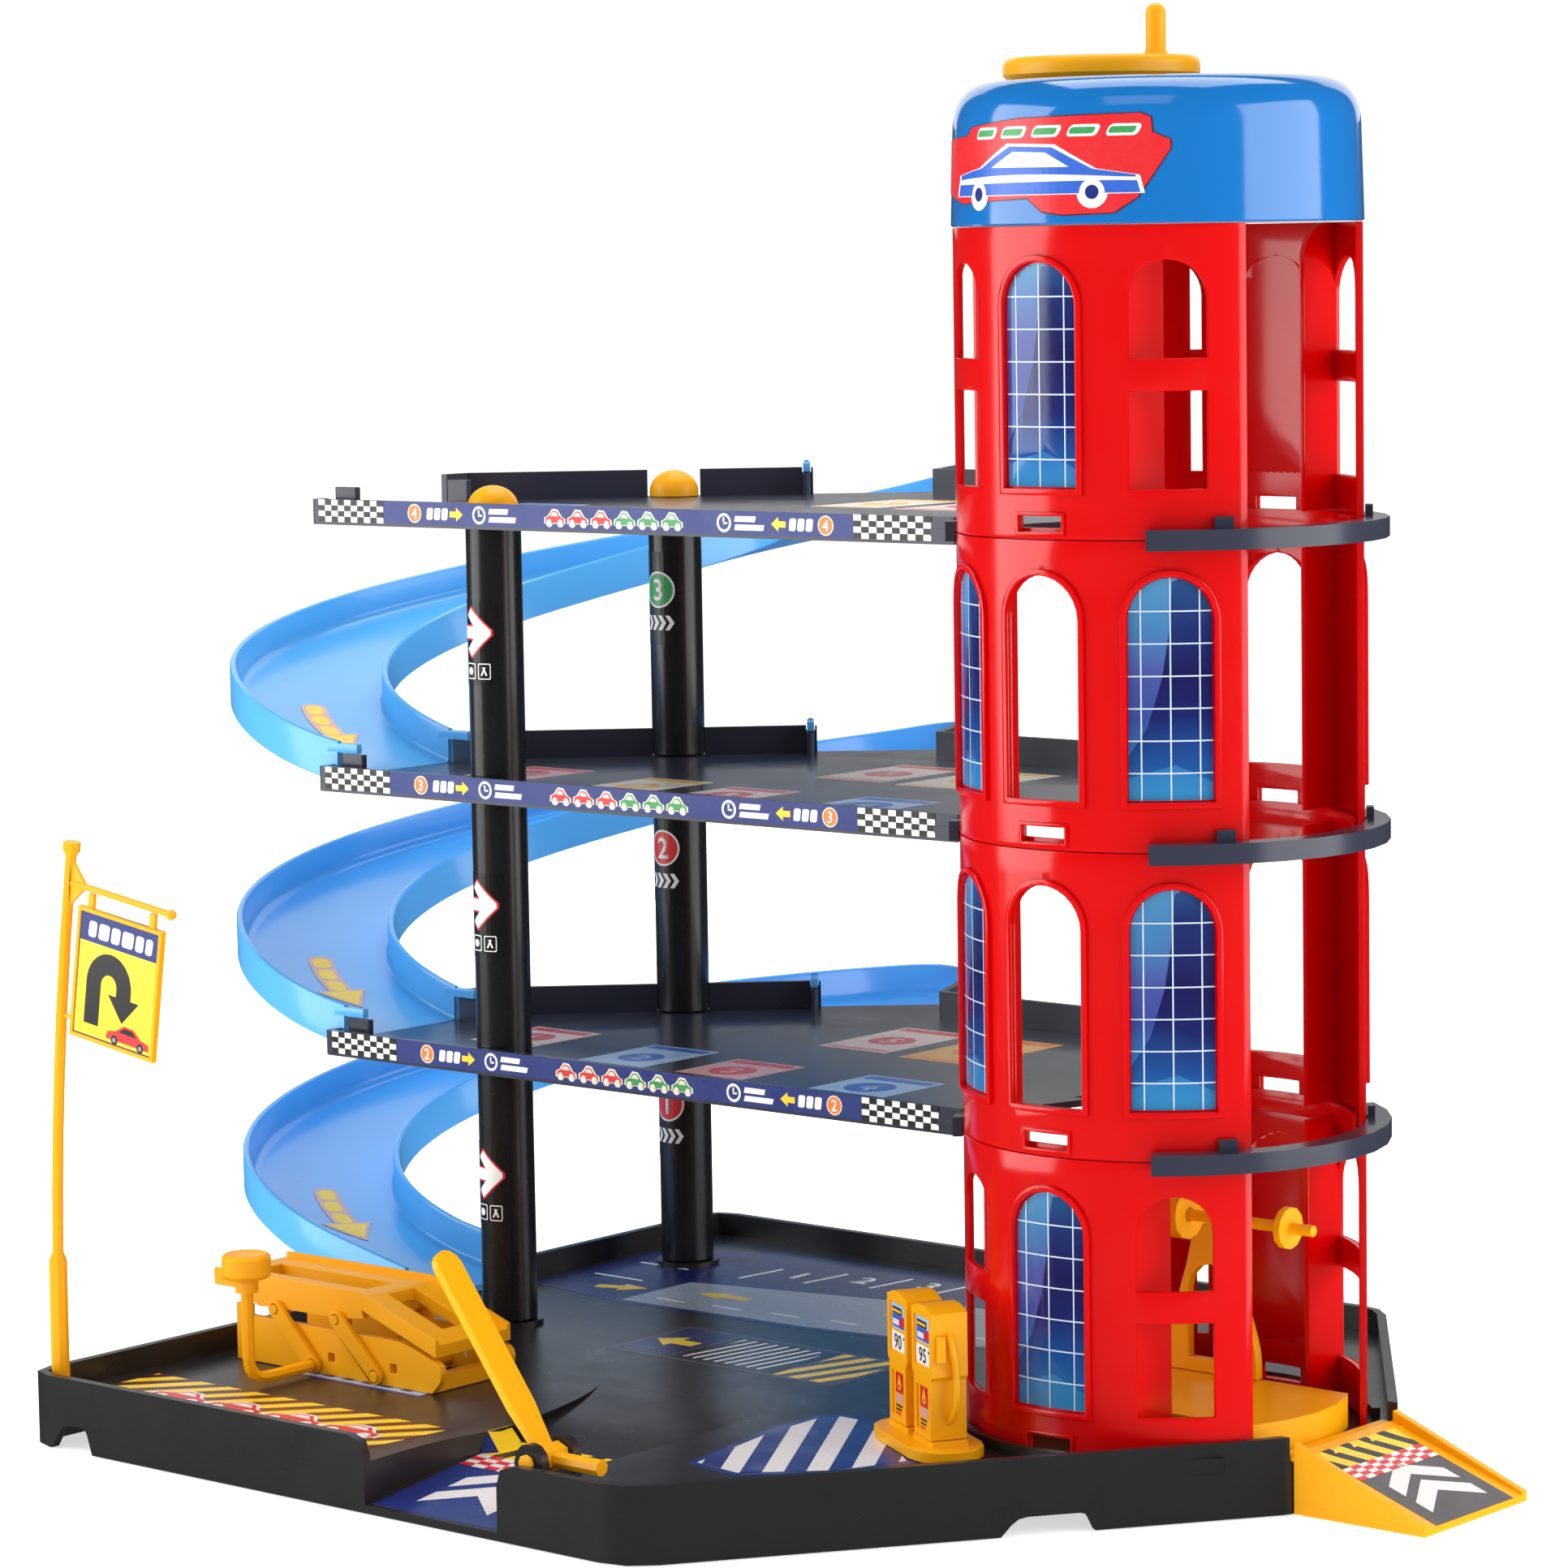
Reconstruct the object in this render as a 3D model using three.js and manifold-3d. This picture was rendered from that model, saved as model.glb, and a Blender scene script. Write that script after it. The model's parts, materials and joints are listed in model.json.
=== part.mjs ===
// Toy parking garage for small die-cast cars: a base tray, three decks on two columns, three spiral
// ramps and a round lift tower with a crank.
// Lengths are millimetres. X runs along the front wall, Y to the back and Z up.
import * as THREE from "three";
import { mergeVertices } from "three/addons/utils/BufferGeometryUtils.js";
import Module from "manifold-3d";

const wasm = await Module();
wasm.setup();

// Fits
const gap = 0.3; // air between pieces that seat on each other
const slip = 0.4; // air round a pin or spigot in its hole
const runningGap = 0.8; // air beside a piece that moves past
const overrun = 1; // how far a cut reaches past the face it opens
const weld = 1e-4; // distance under which vertices are one

// Levels
const sheet = 2.5; // wall of the mouldings
const trayFloor = 18; // top of the tray's floor above the ground
const storey = 106.2; // from one floor to the next
const levelCount = 4;

// Base tray
const trayLeft = 10.7; // left wall
const trayFront = 310; // where the front wall ends
const trayBack = 353; // back wall
const trayDepth = 389;
const noseX = 446; // flat end that takes the entry ramp
const noseFront = 192;
const noseBack = 258;
const trayRim = 3.5; // thickness of the rim wall
const trayHeight = 27;
const trayFillet = 12;
const noseFillet = 3;
const frontCutStart = 12.5; // foot cut-outs, measured along their wall
const frontCutLength = 23;
const frontCutHeight = 9.5;
const sideCutStart = 130;
const sideCutLength = 35;
const sideCutHeight = 6.5;
const footCutSlope = 7;
const notchSoftening = 8; // round shoulders of the rim beside the lane's mouth

// Lane that slopes from the front edge up to the tray's floor
const laneLeft = 187.7;
const laneWidth = 63.7;
const laneLip = 3; // height of its front edge
const laneRise = 140; // where it reaches the floor
const laneDepth = 157; // where its step wall dies out
const laneLeftShares = [
  [0, 0],
  [-0.03, 0.24],
  [0.045, 0.43],
  [-0.015, 0.59],
  [-0.15, 0.79],
  [-0.39, 1],
];
const laneRightShares = [
  [0.8, 1],
  [1, 0.86],
  [1.03, 0.7],
  [1.05, 0.33],
  [1, 0],
];

// Columns
const columnRadius = 10.8;
const frontColumnX = 67.8;
const frontColumnY = 200.2;
const rearColumnX = 46;
const rearColumnY = 330;
const spigotRadius = 6;
const spigotGrip = 8; // length of a spigot inside the next column
const collarWidth = 2.5; // boss round a column's foot
const collarHeight = 2;
const domeRadius = 10;
const domeHeight = 7;

// Tower
const towerX = 374;
const towerY = 218;
const towerRadius = 71.3;
const doorwayAngle = 29; // half the opening of each doorway, in degrees
const frameRise = 1.5; // window frames stand proud of the wall
const frameWidth = 2.2;
const archWidth = 30;
const archSill = 17.2; // heights in a storey, from its foot
const archTop = 94;
const splitWidth = 26.5; // windows with an arch over a rectangle
const splitSill = 17;
const splitRail = 50;
const splitArchSill = 61;
const panelRecess = 1;
const slotWidth = 18;
const slotHeight = 5.5;
const slotSill = 2.5;
const nearWindowAngle = 51; // windows' angles from the doorway, in degrees
const midWindowAngle = 88.5;
const farWindowAngle = 124;
const lipWidth = 1.8; // lip that lines up the storey above
const lipRise = 4;
const finX = 32; // guide fins, on both sides of the middle
const finThickness = 2;
const finFlareRadius = 14; // rounded corner at the top of the tower
const ringWidth = 3; // kerb round the tower's foot
const ringHeight = 5;

// Balconies that tie the tower's halves across the doorway
const balconyReach = 9; // how far they stand out from the wall
const balconyHeight = 7;
const balconyDrop = 3; // how far they reach below a seam
const balconyAngle = 57;
const balconyTabHeight = 4;
const balconyTabAngle = 5;

// Decks
const deckFront = 185.6;
const deckLeft = -18;
const deckBack = 375;
const deckBackRight = 300;
const deckBackLeft = 150;
const deckSideX = 337; // where the right wall meets the tower
const deckSideY = 281;
const deckChamferY = 273; // where the left wall turns to the slanting wall
const deckFillet = 3;
const fasciaRise = 4.5; // fascia above and below the floor
const fasciaDrop = 5.5;
const deckWall = 3;
const guardRise = 11;
const towerClearance = 1;
const tongueInset = 1.6; // clearance of the deck's tongue in the doorway
const clipStartAngle = 160; // clip on the tower beside the fascia, in degrees from X
const clipEndAngle = 145;
const clipHalfHeight = 3.5;
const postLength = 13; // posts that hold the ramps' hooks
const postRise = 9;

// Spiral ramps
const spiralX = -14;
const spiralY = 347;
const spiralInner = 88;
const spiralOuter = 154;
const spiralStart = 40; // degrees from X where the curve starts
const spiralEnd = 270;
const spiralLead = 47; // straight run from the deck to the curve
const spiralWall = 2.8;
const spiralWallRise = 14;
const spiralFillet = 4;
const spiralBank = 6; // how much higher the outer edge runs in the curve
const spiralEasing = 0.2; // share of the run over which the bank grows
const spiralStep = 10; // degrees between sections
const hookLength = 11;
const hookHeight = 2;
const landingOverlap = 2.5; // the lowest ramp reaches past the tray's wall by this much
const runOutRise = 2.8; // floor of its run-out above the tray's floor

// Tower cap, winch and crank
const capHeight = 50.3;
const capOverhang = 0.6; // past the tower's wall
const capRadius = towerRadius + capOverhang;
const capShoulder = 17; // radius of the rounded top edge
const capTaper = 1; // draft of its side
const plateThickness = 2.5;
const crankInset = 23.6; // from the tower's axis to the crank's
const crankX = towerX - crankInset;
const crankDiscRadius = 34.6;
const crankDiscHeight = 7.5;
const crankFloat = 0.9; // air under the disc
const crankEdge = 3; // rounded edge of the disc
const pegRadius = 3.5;
const pegHeight = 18.7;
const pegThrow = 23.7; // from the axis to the peg
const shaftRadius = 5;
const drumRadius = 12;
const drumFlange = 3.5;
const drumLength = 14;
const drumRim = 2.5;
const drumFoot = 8; // height of the drum's lower flange over the plate
const plateBossHeight = 5;
const plateBossWidth = 3;

// Lift
const liftClearance = 6.3; // to the tower's outside
const liftRadius = towerRadius - liftClearance;
const liftHalfWidth = 31;
const finClearance = 10.5; // between the lift's long sides and the guide fins
const finReach = liftHalfWidth + finClearance;
const liftTop = 30; // floor of the platform at the ground
const liftThickness = 3.5;
const ribThickness = 2.4;
const ribPitch = 12;
const stopLength = 13;
const stopHeight = 10;
const stopThickness = 4;
const cheekThickness = 4; // side frames of the hanger
const cheekFoot = 40;
const cheekHead = 15;
const bridgeHeight = 8.7; // over the opening of the side frames
const spindleHeight = 94;
const hubRadius = 9;
const hubLength = 22;
const beamHeight = 13;
const beamWidth = 11;
const spindleRadius = 2.15;
const spindleInset = 1; // from the lift's rim
const spindleReach = liftRadius - spindleInset;
const discRadius = 7.5;
const discThickness = 3;
const discInset = 12; // from the lift's rim
const discPlace = liftRadius - discInset;
const stringRadius = 0.8;
const eyeletRadius = 2.5;
const knotRadius = 2;
const feedTurns = 0.75; // turns of string on the drum
const feedShares = [
  [0.45, 0.85],
  [0.15, 0.3],
];

// Entry ramp
const entryLength = 54;
const entryInset = 1; // clearance to the ends of the tray's wall
const entryRise = 21.5; // height of its upper end
const entryTip = 2.5; // height of its lower end
const entrySheet = 2.5;
const entryRail = 3;
const entryRailRise = 3.5;
const entryTongue = 6.5; // overlap on the tray's floor
const entryTongueThickness = 2;

// Sign
const signInset = 8; // from the tray's left wall
const signY = 10;
const signLean = 8.7; // the slim post leans over by this angle at its top
const signLeanStart = 22; // height over the tray's floor where it starts to lean
const signSteps = 6; // along the leaning part
const signFootRadius = 3.4;
const signFootHeight = 50;
const signPostRadius = 2.1;
const signPostTop = 221;
const signKnobRadius = 3.3;
const signKnobHeight = 5;
const signArmHeight = 211;
const signArmRadius = 1.3;
const signArmLength = 55;
const signBallRadius = 2.1;
const signGusset = 10;
const signPanelStart = 7;
const signPanelWidth = 45;
const signPanelHeight = 49;
const signPanelDrop = 7; // from the arm's axis to the panel's top
const signPanelThickness = 2.4;
const signFrame = 1.6;
const signRecess = 0.8;
const signLinkInset = 6;
const signLinkWidth = 3;
const signLinkThickness = 1.6;
const signPegHeight = 6; // peg beside the panel's lower corner
const signPegRadius = 0.9;

// Barrier
const barrierX = 260;
const barrierNearY = 9; // the two lugs
const barrierFarY = 25;
const barrierLug = 3.6;
const barrierLugWidth = 13;
const barrierHeight = 27; // axis above the ground
const barrierPinRadius = 2;
const barrierHub = 5;
const barrierLength = 82;
const barrierWidth = 11.5;
const barrierNeck = 6.5;
const barrierThickness = 3;
const barrierTail = 25;
const barrierAngle = 127; // the raised arm, in degrees from X
const pinHeadRadius = 3.2;
const pinHeadHeight = 1.6;

// Fuel pumps
const islandStandOff = 9.7; // from the tower's wall
const islandOffset = 44; // from the tower's axis
const islandX = towerX - islandOffset;
const islandY = towerY - towerRadius - islandStandOff;
const islandLength = 60;
const islandWidth = 27;
const islandHeight = 4;
const islandTurn = -30;
const islandPlinth = 2;
const pumpPitch = 24; // between the two pumps
const pumpWidth = 19;
const pumpDepth = 13.5;
const pumpHeight = 47;
const pumpHeadShare = 0.52; // part of the height taken by the wider head
const pumpWaist = 1.6;
const pumpCrown = 2.2;
const pumpPanelInset = 2.2;
const pumpPanelDepth = 0.8;
const hoseRadius = 1.3;
const hoseShares = [0.82, 0.74, 0.5, 0.22, 0.12]; // heights of the hose's bends
const nozzleShare = 0.6;
const hoseStandOff = 2.2;
const nozzleLength = 9;
const nozzleRadius = 1.8;
const pumpPegRadius = 3;

// Service lift
const serviceMidY = 110;
const serviceHalf = 20; // half the width of frame and table
const railThickness = 3;
const railStart = 29;
const railEnd = 137.5;
const railFoot = 5;
const railTop = 35.8; // heights above the ground
const railNose = 29.3; // at its right end
const railShoulder = 118; // where its top starts to fall
const legWidth = 7;
const legTop = 40;
const portSize = 3.6; // square ports beside the lower pivots
const portOffset = 8;
const pivotX = 72; // lower pivots
const pivotPitch = 32.8;
const pivotHeight = 21.5;
const pivotRadius = 1.8;
const pivotBoss = 4.2;
const linkLength = 27.5;
const linkAngle = 136; // from X, in degrees
const linkThickness = 2.4;
const linkWidth = 6.2;
const crankRodRadius = 2.3;
const crankRodReach = 32; // from the links to the upright part
const crankRodRise = 38.5;
const crankRodBend = 9; // size of its rounded corner
const crankSleeve = 5; // length of the thicker end under the knob
const crankSleeveRadius = 4.4;
const serviceKnobRadius = 9.4;
const serviceKnobHeight = 9.4;
const serviceKnobDish = 1.5;
const tableStart = 17;
const tableFlatEnd = 96;
const tableEnd = 135;
const tableTop = 50;
const tableLow = 36.5;
const tableThickness = 4.5;
const tableKerb = 1.8;
const tableKerbRise = 2;
const trackWidth = 13;
const tableCheek = 9;

// Counts of the facets
const roundSteps = 12; // round a full circle of a middling part
const fineSteps = 28; // round the tower and its cap
const smallSteps = 8;
const wallSteps = 10; // along one half of the tower's wall
const filletSteps = 2;
const archSteps = 3;
const degree = Math.PI / 180;

const at = (x, y, z = 0) => new THREE.Vector3(x, y, z);
const levels = Array.from({ length: levelCount }, (_, k) => trayFloor + k * storey);
const innerRadius = towerRadius - sheet;

// A closed geometry as a solid that can be joined and cut.
function solid(geometry) {
  const source = geometry.index ? geometry.toNonIndexed() : geometry;
  const bare = new THREE.BufferGeometry();
  bare.setAttribute("position", source.getAttribute("position"));
  const merged = mergeVertices(bare, weld);
  const index = Array.from(merged.index.array);
  const kept = [];
  for (let i = 0; i < index.length; i += 3) {
    const [a, b, c] = index.slice(i, i + 3);
    if (a !== b && b !== c && c !== a) kept.push(a, b, c);
  }
  const vertProperties = merged.attributes.position.array;
  return new wasm.Manifold(new wasm.Mesh({ numProp: 3, vertProperties, triVerts: new Uint32Array(kept) }));
}

const join = (...solids) => solids.flat().reduce((whole, next) => whole.add(next));
const cut = (body, ...tools) => tools.flat().reduce((rest, tool) => rest.subtract(tool), body);

// An outline pushed up in Z.
function plate(shape, bottom, top, steps = filletSteps) {
  const geometry = new THREE.ExtrudeGeometry(shape, {
    depth: top - bottom,
    bevelEnabled: false,
    curveSegments: steps,
  });
  return solid(geometry.translate(0, 0, bottom));
}

// An outline drawn in X and Z, pushed along Y.
function slabAlongY(shape, from, to, steps = filletSteps) {
  const geometry = new THREE.ExtrudeGeometry(shape, {
    depth: to - from,
    bevelEnabled: false,
    curveSegments: steps,
  });
  return solid(geometry.rotateX(Math.PI / 2).translate(0, to, 0));
}

// An outline drawn in Y and Z, pushed along X.
function slabAlongX(shape, from, to, steps = filletSteps) {
  const geometry = new THREE.ExtrudeGeometry(shape, {
    depth: to - from,
    bevelEnabled: false,
    curveSegments: steps,
  });
  const turn = new THREE.Matrix4().makeBasis(at(0, 1, 0), at(0, 0, 1), at(1, 0, 0));
  return solid(geometry.applyMatrix4(turn).translate(from, 0, 0));
}

function block(x0, x1, y0, y1, z0, z1) {
  const geometry = new THREE.BoxGeometry(x1 - x0, y1 - y0, z1 - z0);
  return solid(geometry.translate((x0 + x1) / 2, (y0 + y1) / 2, (z0 + z1) / 2));
}

// A profile of radius and height turned round the Z axis at x and y.
function turned(profile, x = 0, y = 0, steps = roundSteps) {
  const points = profile.map(([radius, height]) => new THREE.Vector2(radius, height));
  if (THREE.ShapeUtils.area(points) < 0) points.reverse();
  const geometry = new THREE.LatheGeometry(points, steps);
  return solid(geometry.rotateX(Math.PI / 2).translate(x, y, 0));
}

// A round bar between two points.
function rod(radius, from, to, steps = smallSteps) {
  const along = to.clone().sub(from);
  const geometry = new THREE.CylinderGeometry(radius, radius, along.length(), steps);
  geometry.applyQuaternion(
    new THREE.Quaternion().setFromUnitVectors(at(0, 1, 0), along.clone().normalize()),
  );
  const middle = from.clone().lerp(to, 0.5);
  return solid(geometry.translate(middle.x, middle.y, middle.z));
}

// An upright cylinder.
const standing = (radius, x, y, bottom, top, steps = roundSteps) =>
  rod(radius, at(x, y, bottom), at(x, y, top), steps);

function ball(radius, centre, steps = smallSteps) {
  const geometry = new THREE.SphereGeometry(radius, steps, steps / 2);
  return solid(geometry.translate(centre.x, centre.y, centre.z));
}

// A round bar that follows a curve.
function bentRod(radius, curve, steps) {
  const section = new THREE.Shape().absarc(0, 0, radius, 0, 2 * Math.PI);
  const geometry = new THREE.ExtrudeGeometry(section, {
    extrudePath: curve,
    steps,
    curveSegments: smallSteps / 2 - 1,
    bevelEnabled: false,
  });
  return solid(geometry);
}

function towards(from, to, distance) {
  const length = Math.hypot(to.x - from.x, to.y - from.y);
  const share = distance / length;
  return { x: from.x + (to.x - from.x) * share, y: from.y + (to.y - from.y) * share };
}

// A closed outline through corners that each have a fillet.
function outline(corners) {
  const shape = new THREE.Shape();
  corners.forEach((corner, i) => {
    const before = corners.at(i - 1);
    const after = corners[(i + 1) % corners.length];
    const reach = corner.fillet ?? 0;
    const start = towards(corner, before, reach);
    const end = towards(corner, after, reach);
    if (i === 0) shape.moveTo(start.x, start.y);
    else shape.lineTo(start.x, start.y);
    if (reach > 0) shape.quadraticCurveTo(corner.x, corner.y, end.x, end.y);
  });
  shape.closePath();
  return shape;
}

// The corners of an outline that runs anticlockwise, moved inwards.
function inset(corners, distance) {
  const edges = corners.map((corner, i) => {
    const next = corners[(i + 1) % corners.length];
    const length = Math.hypot(next.x - corner.x, next.y - corner.y);
    const nx = -(next.y - corner.y) / length;
    const ny = (next.x - corner.x) / length;
    return { nx, ny, reach: nx * corner.x + ny * corner.y + distance };
  });
  return corners.map((corner, i) => {
    const a = edges.at(i - 1);
    const b = edges[i];
    const det = a.nx * b.ny - a.ny * b.nx;
    return {
      x: (a.reach * b.ny - b.reach * a.ny) / det,
      y: (a.nx * b.reach - b.nx * a.reach) / det,
      fillet: Math.max((corner.fillet ?? 0) - distance, 0),
    };
  });
}

// A bar with round ends between two points of the plan.
function bar(from, to, width) {
  const along = Math.atan2(to.y - from.y, to.x - from.x);
  const shape = new THREE.Shape();
  shape.absarc(from.x, from.y, width / 2, along + Math.PI / 2, along + 1.5 * Math.PI);
  shape.absarc(to.x, to.y, width / 2, along - Math.PI / 2, along + Math.PI / 2);
  shape.closePath();
  return shape;
}

// A sector of a ring about the origin, with its angles in degrees.
function sector(inner, outer, from, to) {
  const shape = new THREE.Shape();
  shape.absarc(0, 0, outer, from * degree, to * degree, false);
  shape.absarc(0, 0, inner, to * degree, from * degree, true);
  shape.closePath();
  return shape;
}

const halfTurn = 180 - 2 * doorwayAngle;
const sectorSteps = (from, to) => Math.max(1, Math.round((((to - from) / halfTurn) * wallSteps) / 2));

function ringPiece(inner, outer, from, to, bottom, top) {
  return plate(sector(inner, outer, from, to), bottom, top, sectorSteps(from, to));
}

// A solid skinned over sections that each have the same number of points.
function lofted(sections, face) {
  const triangles = [];
  const push = (...points) => points.forEach((p) => triangles.push(p.x, p.y, p.z));
  const count = face.length;
  for (let i = 0; i + 1 < sections.length; i++) {
    for (let j = 0; j < count; j++) {
      const k = (j + 1) % count;
      push(sections[i][j], sections[i + 1][k], sections[i][k]);
      push(sections[i][j], sections[i + 1][j], sections[i + 1][k]);
    }
  }
  for (const [a, b, c] of THREE.ShapeUtils.triangulateShape(face, [])) {
    const last = sections.at(-1);
    push(sections[0][a], sections[0][b], sections[0][c]);
    push(last[a], last[c], last[b]);
  }
  const geometry = new THREE.BufferGeometry();
  geometry.setAttribute("position", new THREE.Float32BufferAttribute(triangles, 3));
  return solid(geometry);
}

// Path of the spiral ramps: the point at a radius, and the way down along the path.
const spiralPoint = (angle, radius) =>
  at(spiralX + radius * Math.cos(angle * degree), spiralY + radius * Math.sin(angle * degree));
const leadDirection = at(-Math.sin(spiralStart * degree), Math.cos(spiralStart * degree));
const exitPoint = (radius) =>
  spiralPoint(spiralStart, radius).addScaledVector(leadDirection, -spiralLead);
const landingFront = spiralY - spiralOuter;
const landingBack = spiralY - spiralInner;
const groundRunOut = trayLeft + trayRim + landingOverlap - spiralX;

// Base tray
const trayCorners = [
  { x: trayLeft, y: 0, fillet: trayFillet },
  { x: trayFront, y: 0, fillet: trayFillet },
  { x: noseX, y: noseFront, fillet: noseFillet },
  { x: noseX, y: noseBack, fillet: noseFillet },
  { x: trayBack, y: trayDepth, fillet: trayFillet },
  { x: trayLeft, y: trayDepth, fillet: trayFillet },
];

function lanePlan(margin) {
  const points = [
    ...laneLeftShares.map(([u, v]) => [laneLeft - margin + u * laneWidth, v * laneDepth]),
    ...laneRightShares.map(([u, v]) => [laneLeft + margin + u * laneWidth, v * laneDepth]),
  ];
  points[0][1] -= overrun;
  points.at(-1)[1] -= overrun;
  const left = points.slice(0, laneLeftShares.length);
  const right = points.slice(laneLeftShares.length);
  const shape = new THREE.Shape();
  shape.moveTo(...left[0]);
  shape.splineThru(left.slice(1).map(([x, y]) => new THREE.Vector2(x, y)));
  shape.lineTo(...right[0]);
  shape.splineThru(right.slice(1).map(([x, y]) => new THREE.Vector2(x, y)));
  shape.closePath();
  return shape;
}

// The lane's slope seen from the side, raised by an offset.
function laneSlope(offset, top) {
  const shape = new THREE.Shape();
  shape.moveTo(-overrun, laneLip + offset);
  shape.lineTo(0, laneLip + offset);
  shape.bezierCurveTo(
    laneRise / 3,
    laneLip + offset + (trayFloor - laneLip) / 3,
    (laneRise * 2) / 3,
    trayFloor + offset,
    laneRise,
    trayFloor + offset,
  );
  shape.lineTo(laneRise, top);
  shape.lineTo(-overrun, top);
  shape.closePath();
  return shape;
}

function makeLane(tray) {
  const from = laneLeft - laneWidth;
  const to = laneLeft + 2 * laneWidth;
  const above = slabAlongX(laneSlope(0, trayHeight + overrun), from, to, archSteps);
  const hollow = above.intersect(plate(lanePlan(0), 0, trayHeight + overrun, archSteps));
  const below = slabAlongX(laneSlope(-sheet, trayFloor), from, to, archSteps);
  const wide = plate(lanePlan(sheet), 0, trayFloor, archSteps);
  const frontEdge = block(from, to, 0, laneDepth, 0, trayFloor);
  const mouth = outline([
    { x: laneLeft - notchSoftening, y: trayHeight + overrun },
    { x: laneLeft - notchSoftening, y: trayHeight },
    { x: laneLeft, y: trayHeight, fillet: notchSoftening },
    { x: laneLeft, y: trayFloor },
    { x: laneLeft + laneWidth, y: trayFloor },
    { x: laneLeft + laneWidth, y: trayHeight, fillet: notchSoftening },
    { x: laneLeft + laneWidth + notchSoftening, y: trayHeight },
    { x: laneLeft + laneWidth + notchSoftening, y: trayHeight + overrun },
  ]);
  const opened = cut(tray, hollow, slabAlongY(mouth, -overrun, trayRim + overrun));
  const lane = below.intersect(wide).intersect(frontEdge).subtract(hollow);
  return join(opened, lane);
}

// A cut-out under a wall that runs along X from the origin.
function footCut(start, length, height) {
  const end = start + length;
  const opening = outline([
    { x: start, y: -overrun },
    { x: end, y: -overrun },
    { x: end - footCutSlope / 2, y: height, fillet: footCutSlope / 3 },
    { x: start + footCutSlope, y: height, fillet: footCutSlope / 2 },
  ]);
  return slabAlongY(opening, -overrun, 2 * trayRim);
}

function makeTray() {
  const inner = outline(inset(trayCorners, trayRim));
  let tray = cut(
    plate(outline(trayCorners), 0, trayHeight),
    plate(inner, trayFloor, trayHeight + overrun),
    plate(inner, -overrun, trayFloor - sheet),
  );
  tray = makeLane(tray);

  const sideTurn = Math.atan2(noseFront, noseX - trayFront);
  tray = cut(
    tray,
    block(noseX - 2 * trayRim, noseX + overrun, noseFront, noseBack, trayFloor, trayHeight + overrun),
    block(
      trayLeft - overrun,
      trayLeft + 2 * trayRim,
      landingFront - gap,
      landingBack + gap,
      trayFloor,
      trayHeight + overrun,
    ),
    moved(footCut(frontCutStart, frontCutLength, frontCutHeight), trayLeft, 0, 0),
    moved(footCut(sideCutStart, sideCutLength, sideCutHeight), trayFront, 0, 0, sideTurn),
    standing(towerRadius + gap + slip, towerX, towerY, trayFloor, trayHeight + overrun, fineSteps),
  );

  const kerbs = [1, -1].map((side) => {
    const near = side * (doorwayAngle + 2 * balconyTabAngle);
    const far = side * (180 - doorwayAngle - 2 * balconyTabAngle);
    const inner = towerRadius + frameRise + gap;
    const kerb = ringPiece(inner, inner + ringWidth, Math.min(near, far), Math.max(near, far), 0, ringHeight);
    return moved(kerb, towerX, towerY, trayFloor - overrun);
  });
  const spigots = columnPlaces.map(([x, y]) =>
    turned(
      [
        [0, trayFloor - overrun],
        [columnRadius + collarWidth, trayFloor - overrun],
        [columnRadius + collarWidth, trayFloor + collarHeight],
        [spigotRadius, trayFloor + collarHeight],
        [spigotRadius, trayFloor + collarHeight + spigotGrip],
        [0, trayFloor + collarHeight + spigotGrip],
      ],
      x,
      y,
    ),
  );
  const lugs = [barrierNearY, barrierFarY].map(barrierLugAt);
  return join(tray, kerbs, spigots, lugs);
}

function barrierLugAt(y) {
  const half = barrierLugWidth / 2;
  const shape = new THREE.Shape();
  shape.moveTo(barrierX - half, trayFloor - overrun);
  shape.lineTo(barrierX + half, trayFloor - overrun);
  shape.lineTo(barrierX + half, barrierHeight);
  shape.absarc(barrierX, barrierHeight, half, 0, Math.PI);
  shape.closePath();
  const lug = slabAlongY(shape, y - barrierLug / 2, y + barrierLug / 2, archSteps);
  const bore = rod(
    barrierPinRadius + slip,
    at(barrierX, y - barrierLug, barrierHeight),
    at(barrierX, y + barrierLug, barrierHeight),
  );
  return cut(lug, bore);
}

function moved(body, x, y, z, turn = 0) {
  const mesh = body.getMesh();
  const geometry = new THREE.BufferGeometry();
  geometry.setAttribute("position", new THREE.BufferAttribute(mesh.vertProperties.slice(), 3));
  geometry.setIndex(new THREE.BufferAttribute(mesh.triVerts.slice(), 1));
  return solid(geometry.rotateZ(turn).translate(x, y, z));
}

// Columns between the levels
const columnPlaces = [
  [frontColumnX, frontColumnY],
  [rearColumnX, rearColumnY],
];

function makeColumn(first) {
  const foot = first ? collarHeight + gap : gap;
  const head = storey - sheet - gap;
  const socket = foot + spigotGrip + slip;
  return turned([
    [0, socket],
    [spigotRadius + slip, socket],
    [spigotRadius + slip, foot],
    [columnRadius, foot],
    [columnRadius, head],
    [spigotRadius, head],
    [spigotRadius, storey + spigotGrip],
    [0, storey + spigotGrip],
  ]);
}

function makeDome() {
  const socket = spigotGrip + slip;
  const crown = new THREE.Path();
  crown.moveTo(domeRadius, gap);
  crown.lineTo(domeRadius, gap + domeHeight / 4);
  crown.bezierCurveTo(
    domeRadius,
    domeHeight + spigotGrip / 2,
    domeRadius / 2,
    socket + sheet,
    0,
    socket + sheet,
  );
  const profile = crown.getPoints(archSteps).map((p) => [p.x, p.y]);
  return turned([[0, socket], [spigotRadius + slip, socket], [spigotRadius + slip, gap], ...profile]);
}

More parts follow.
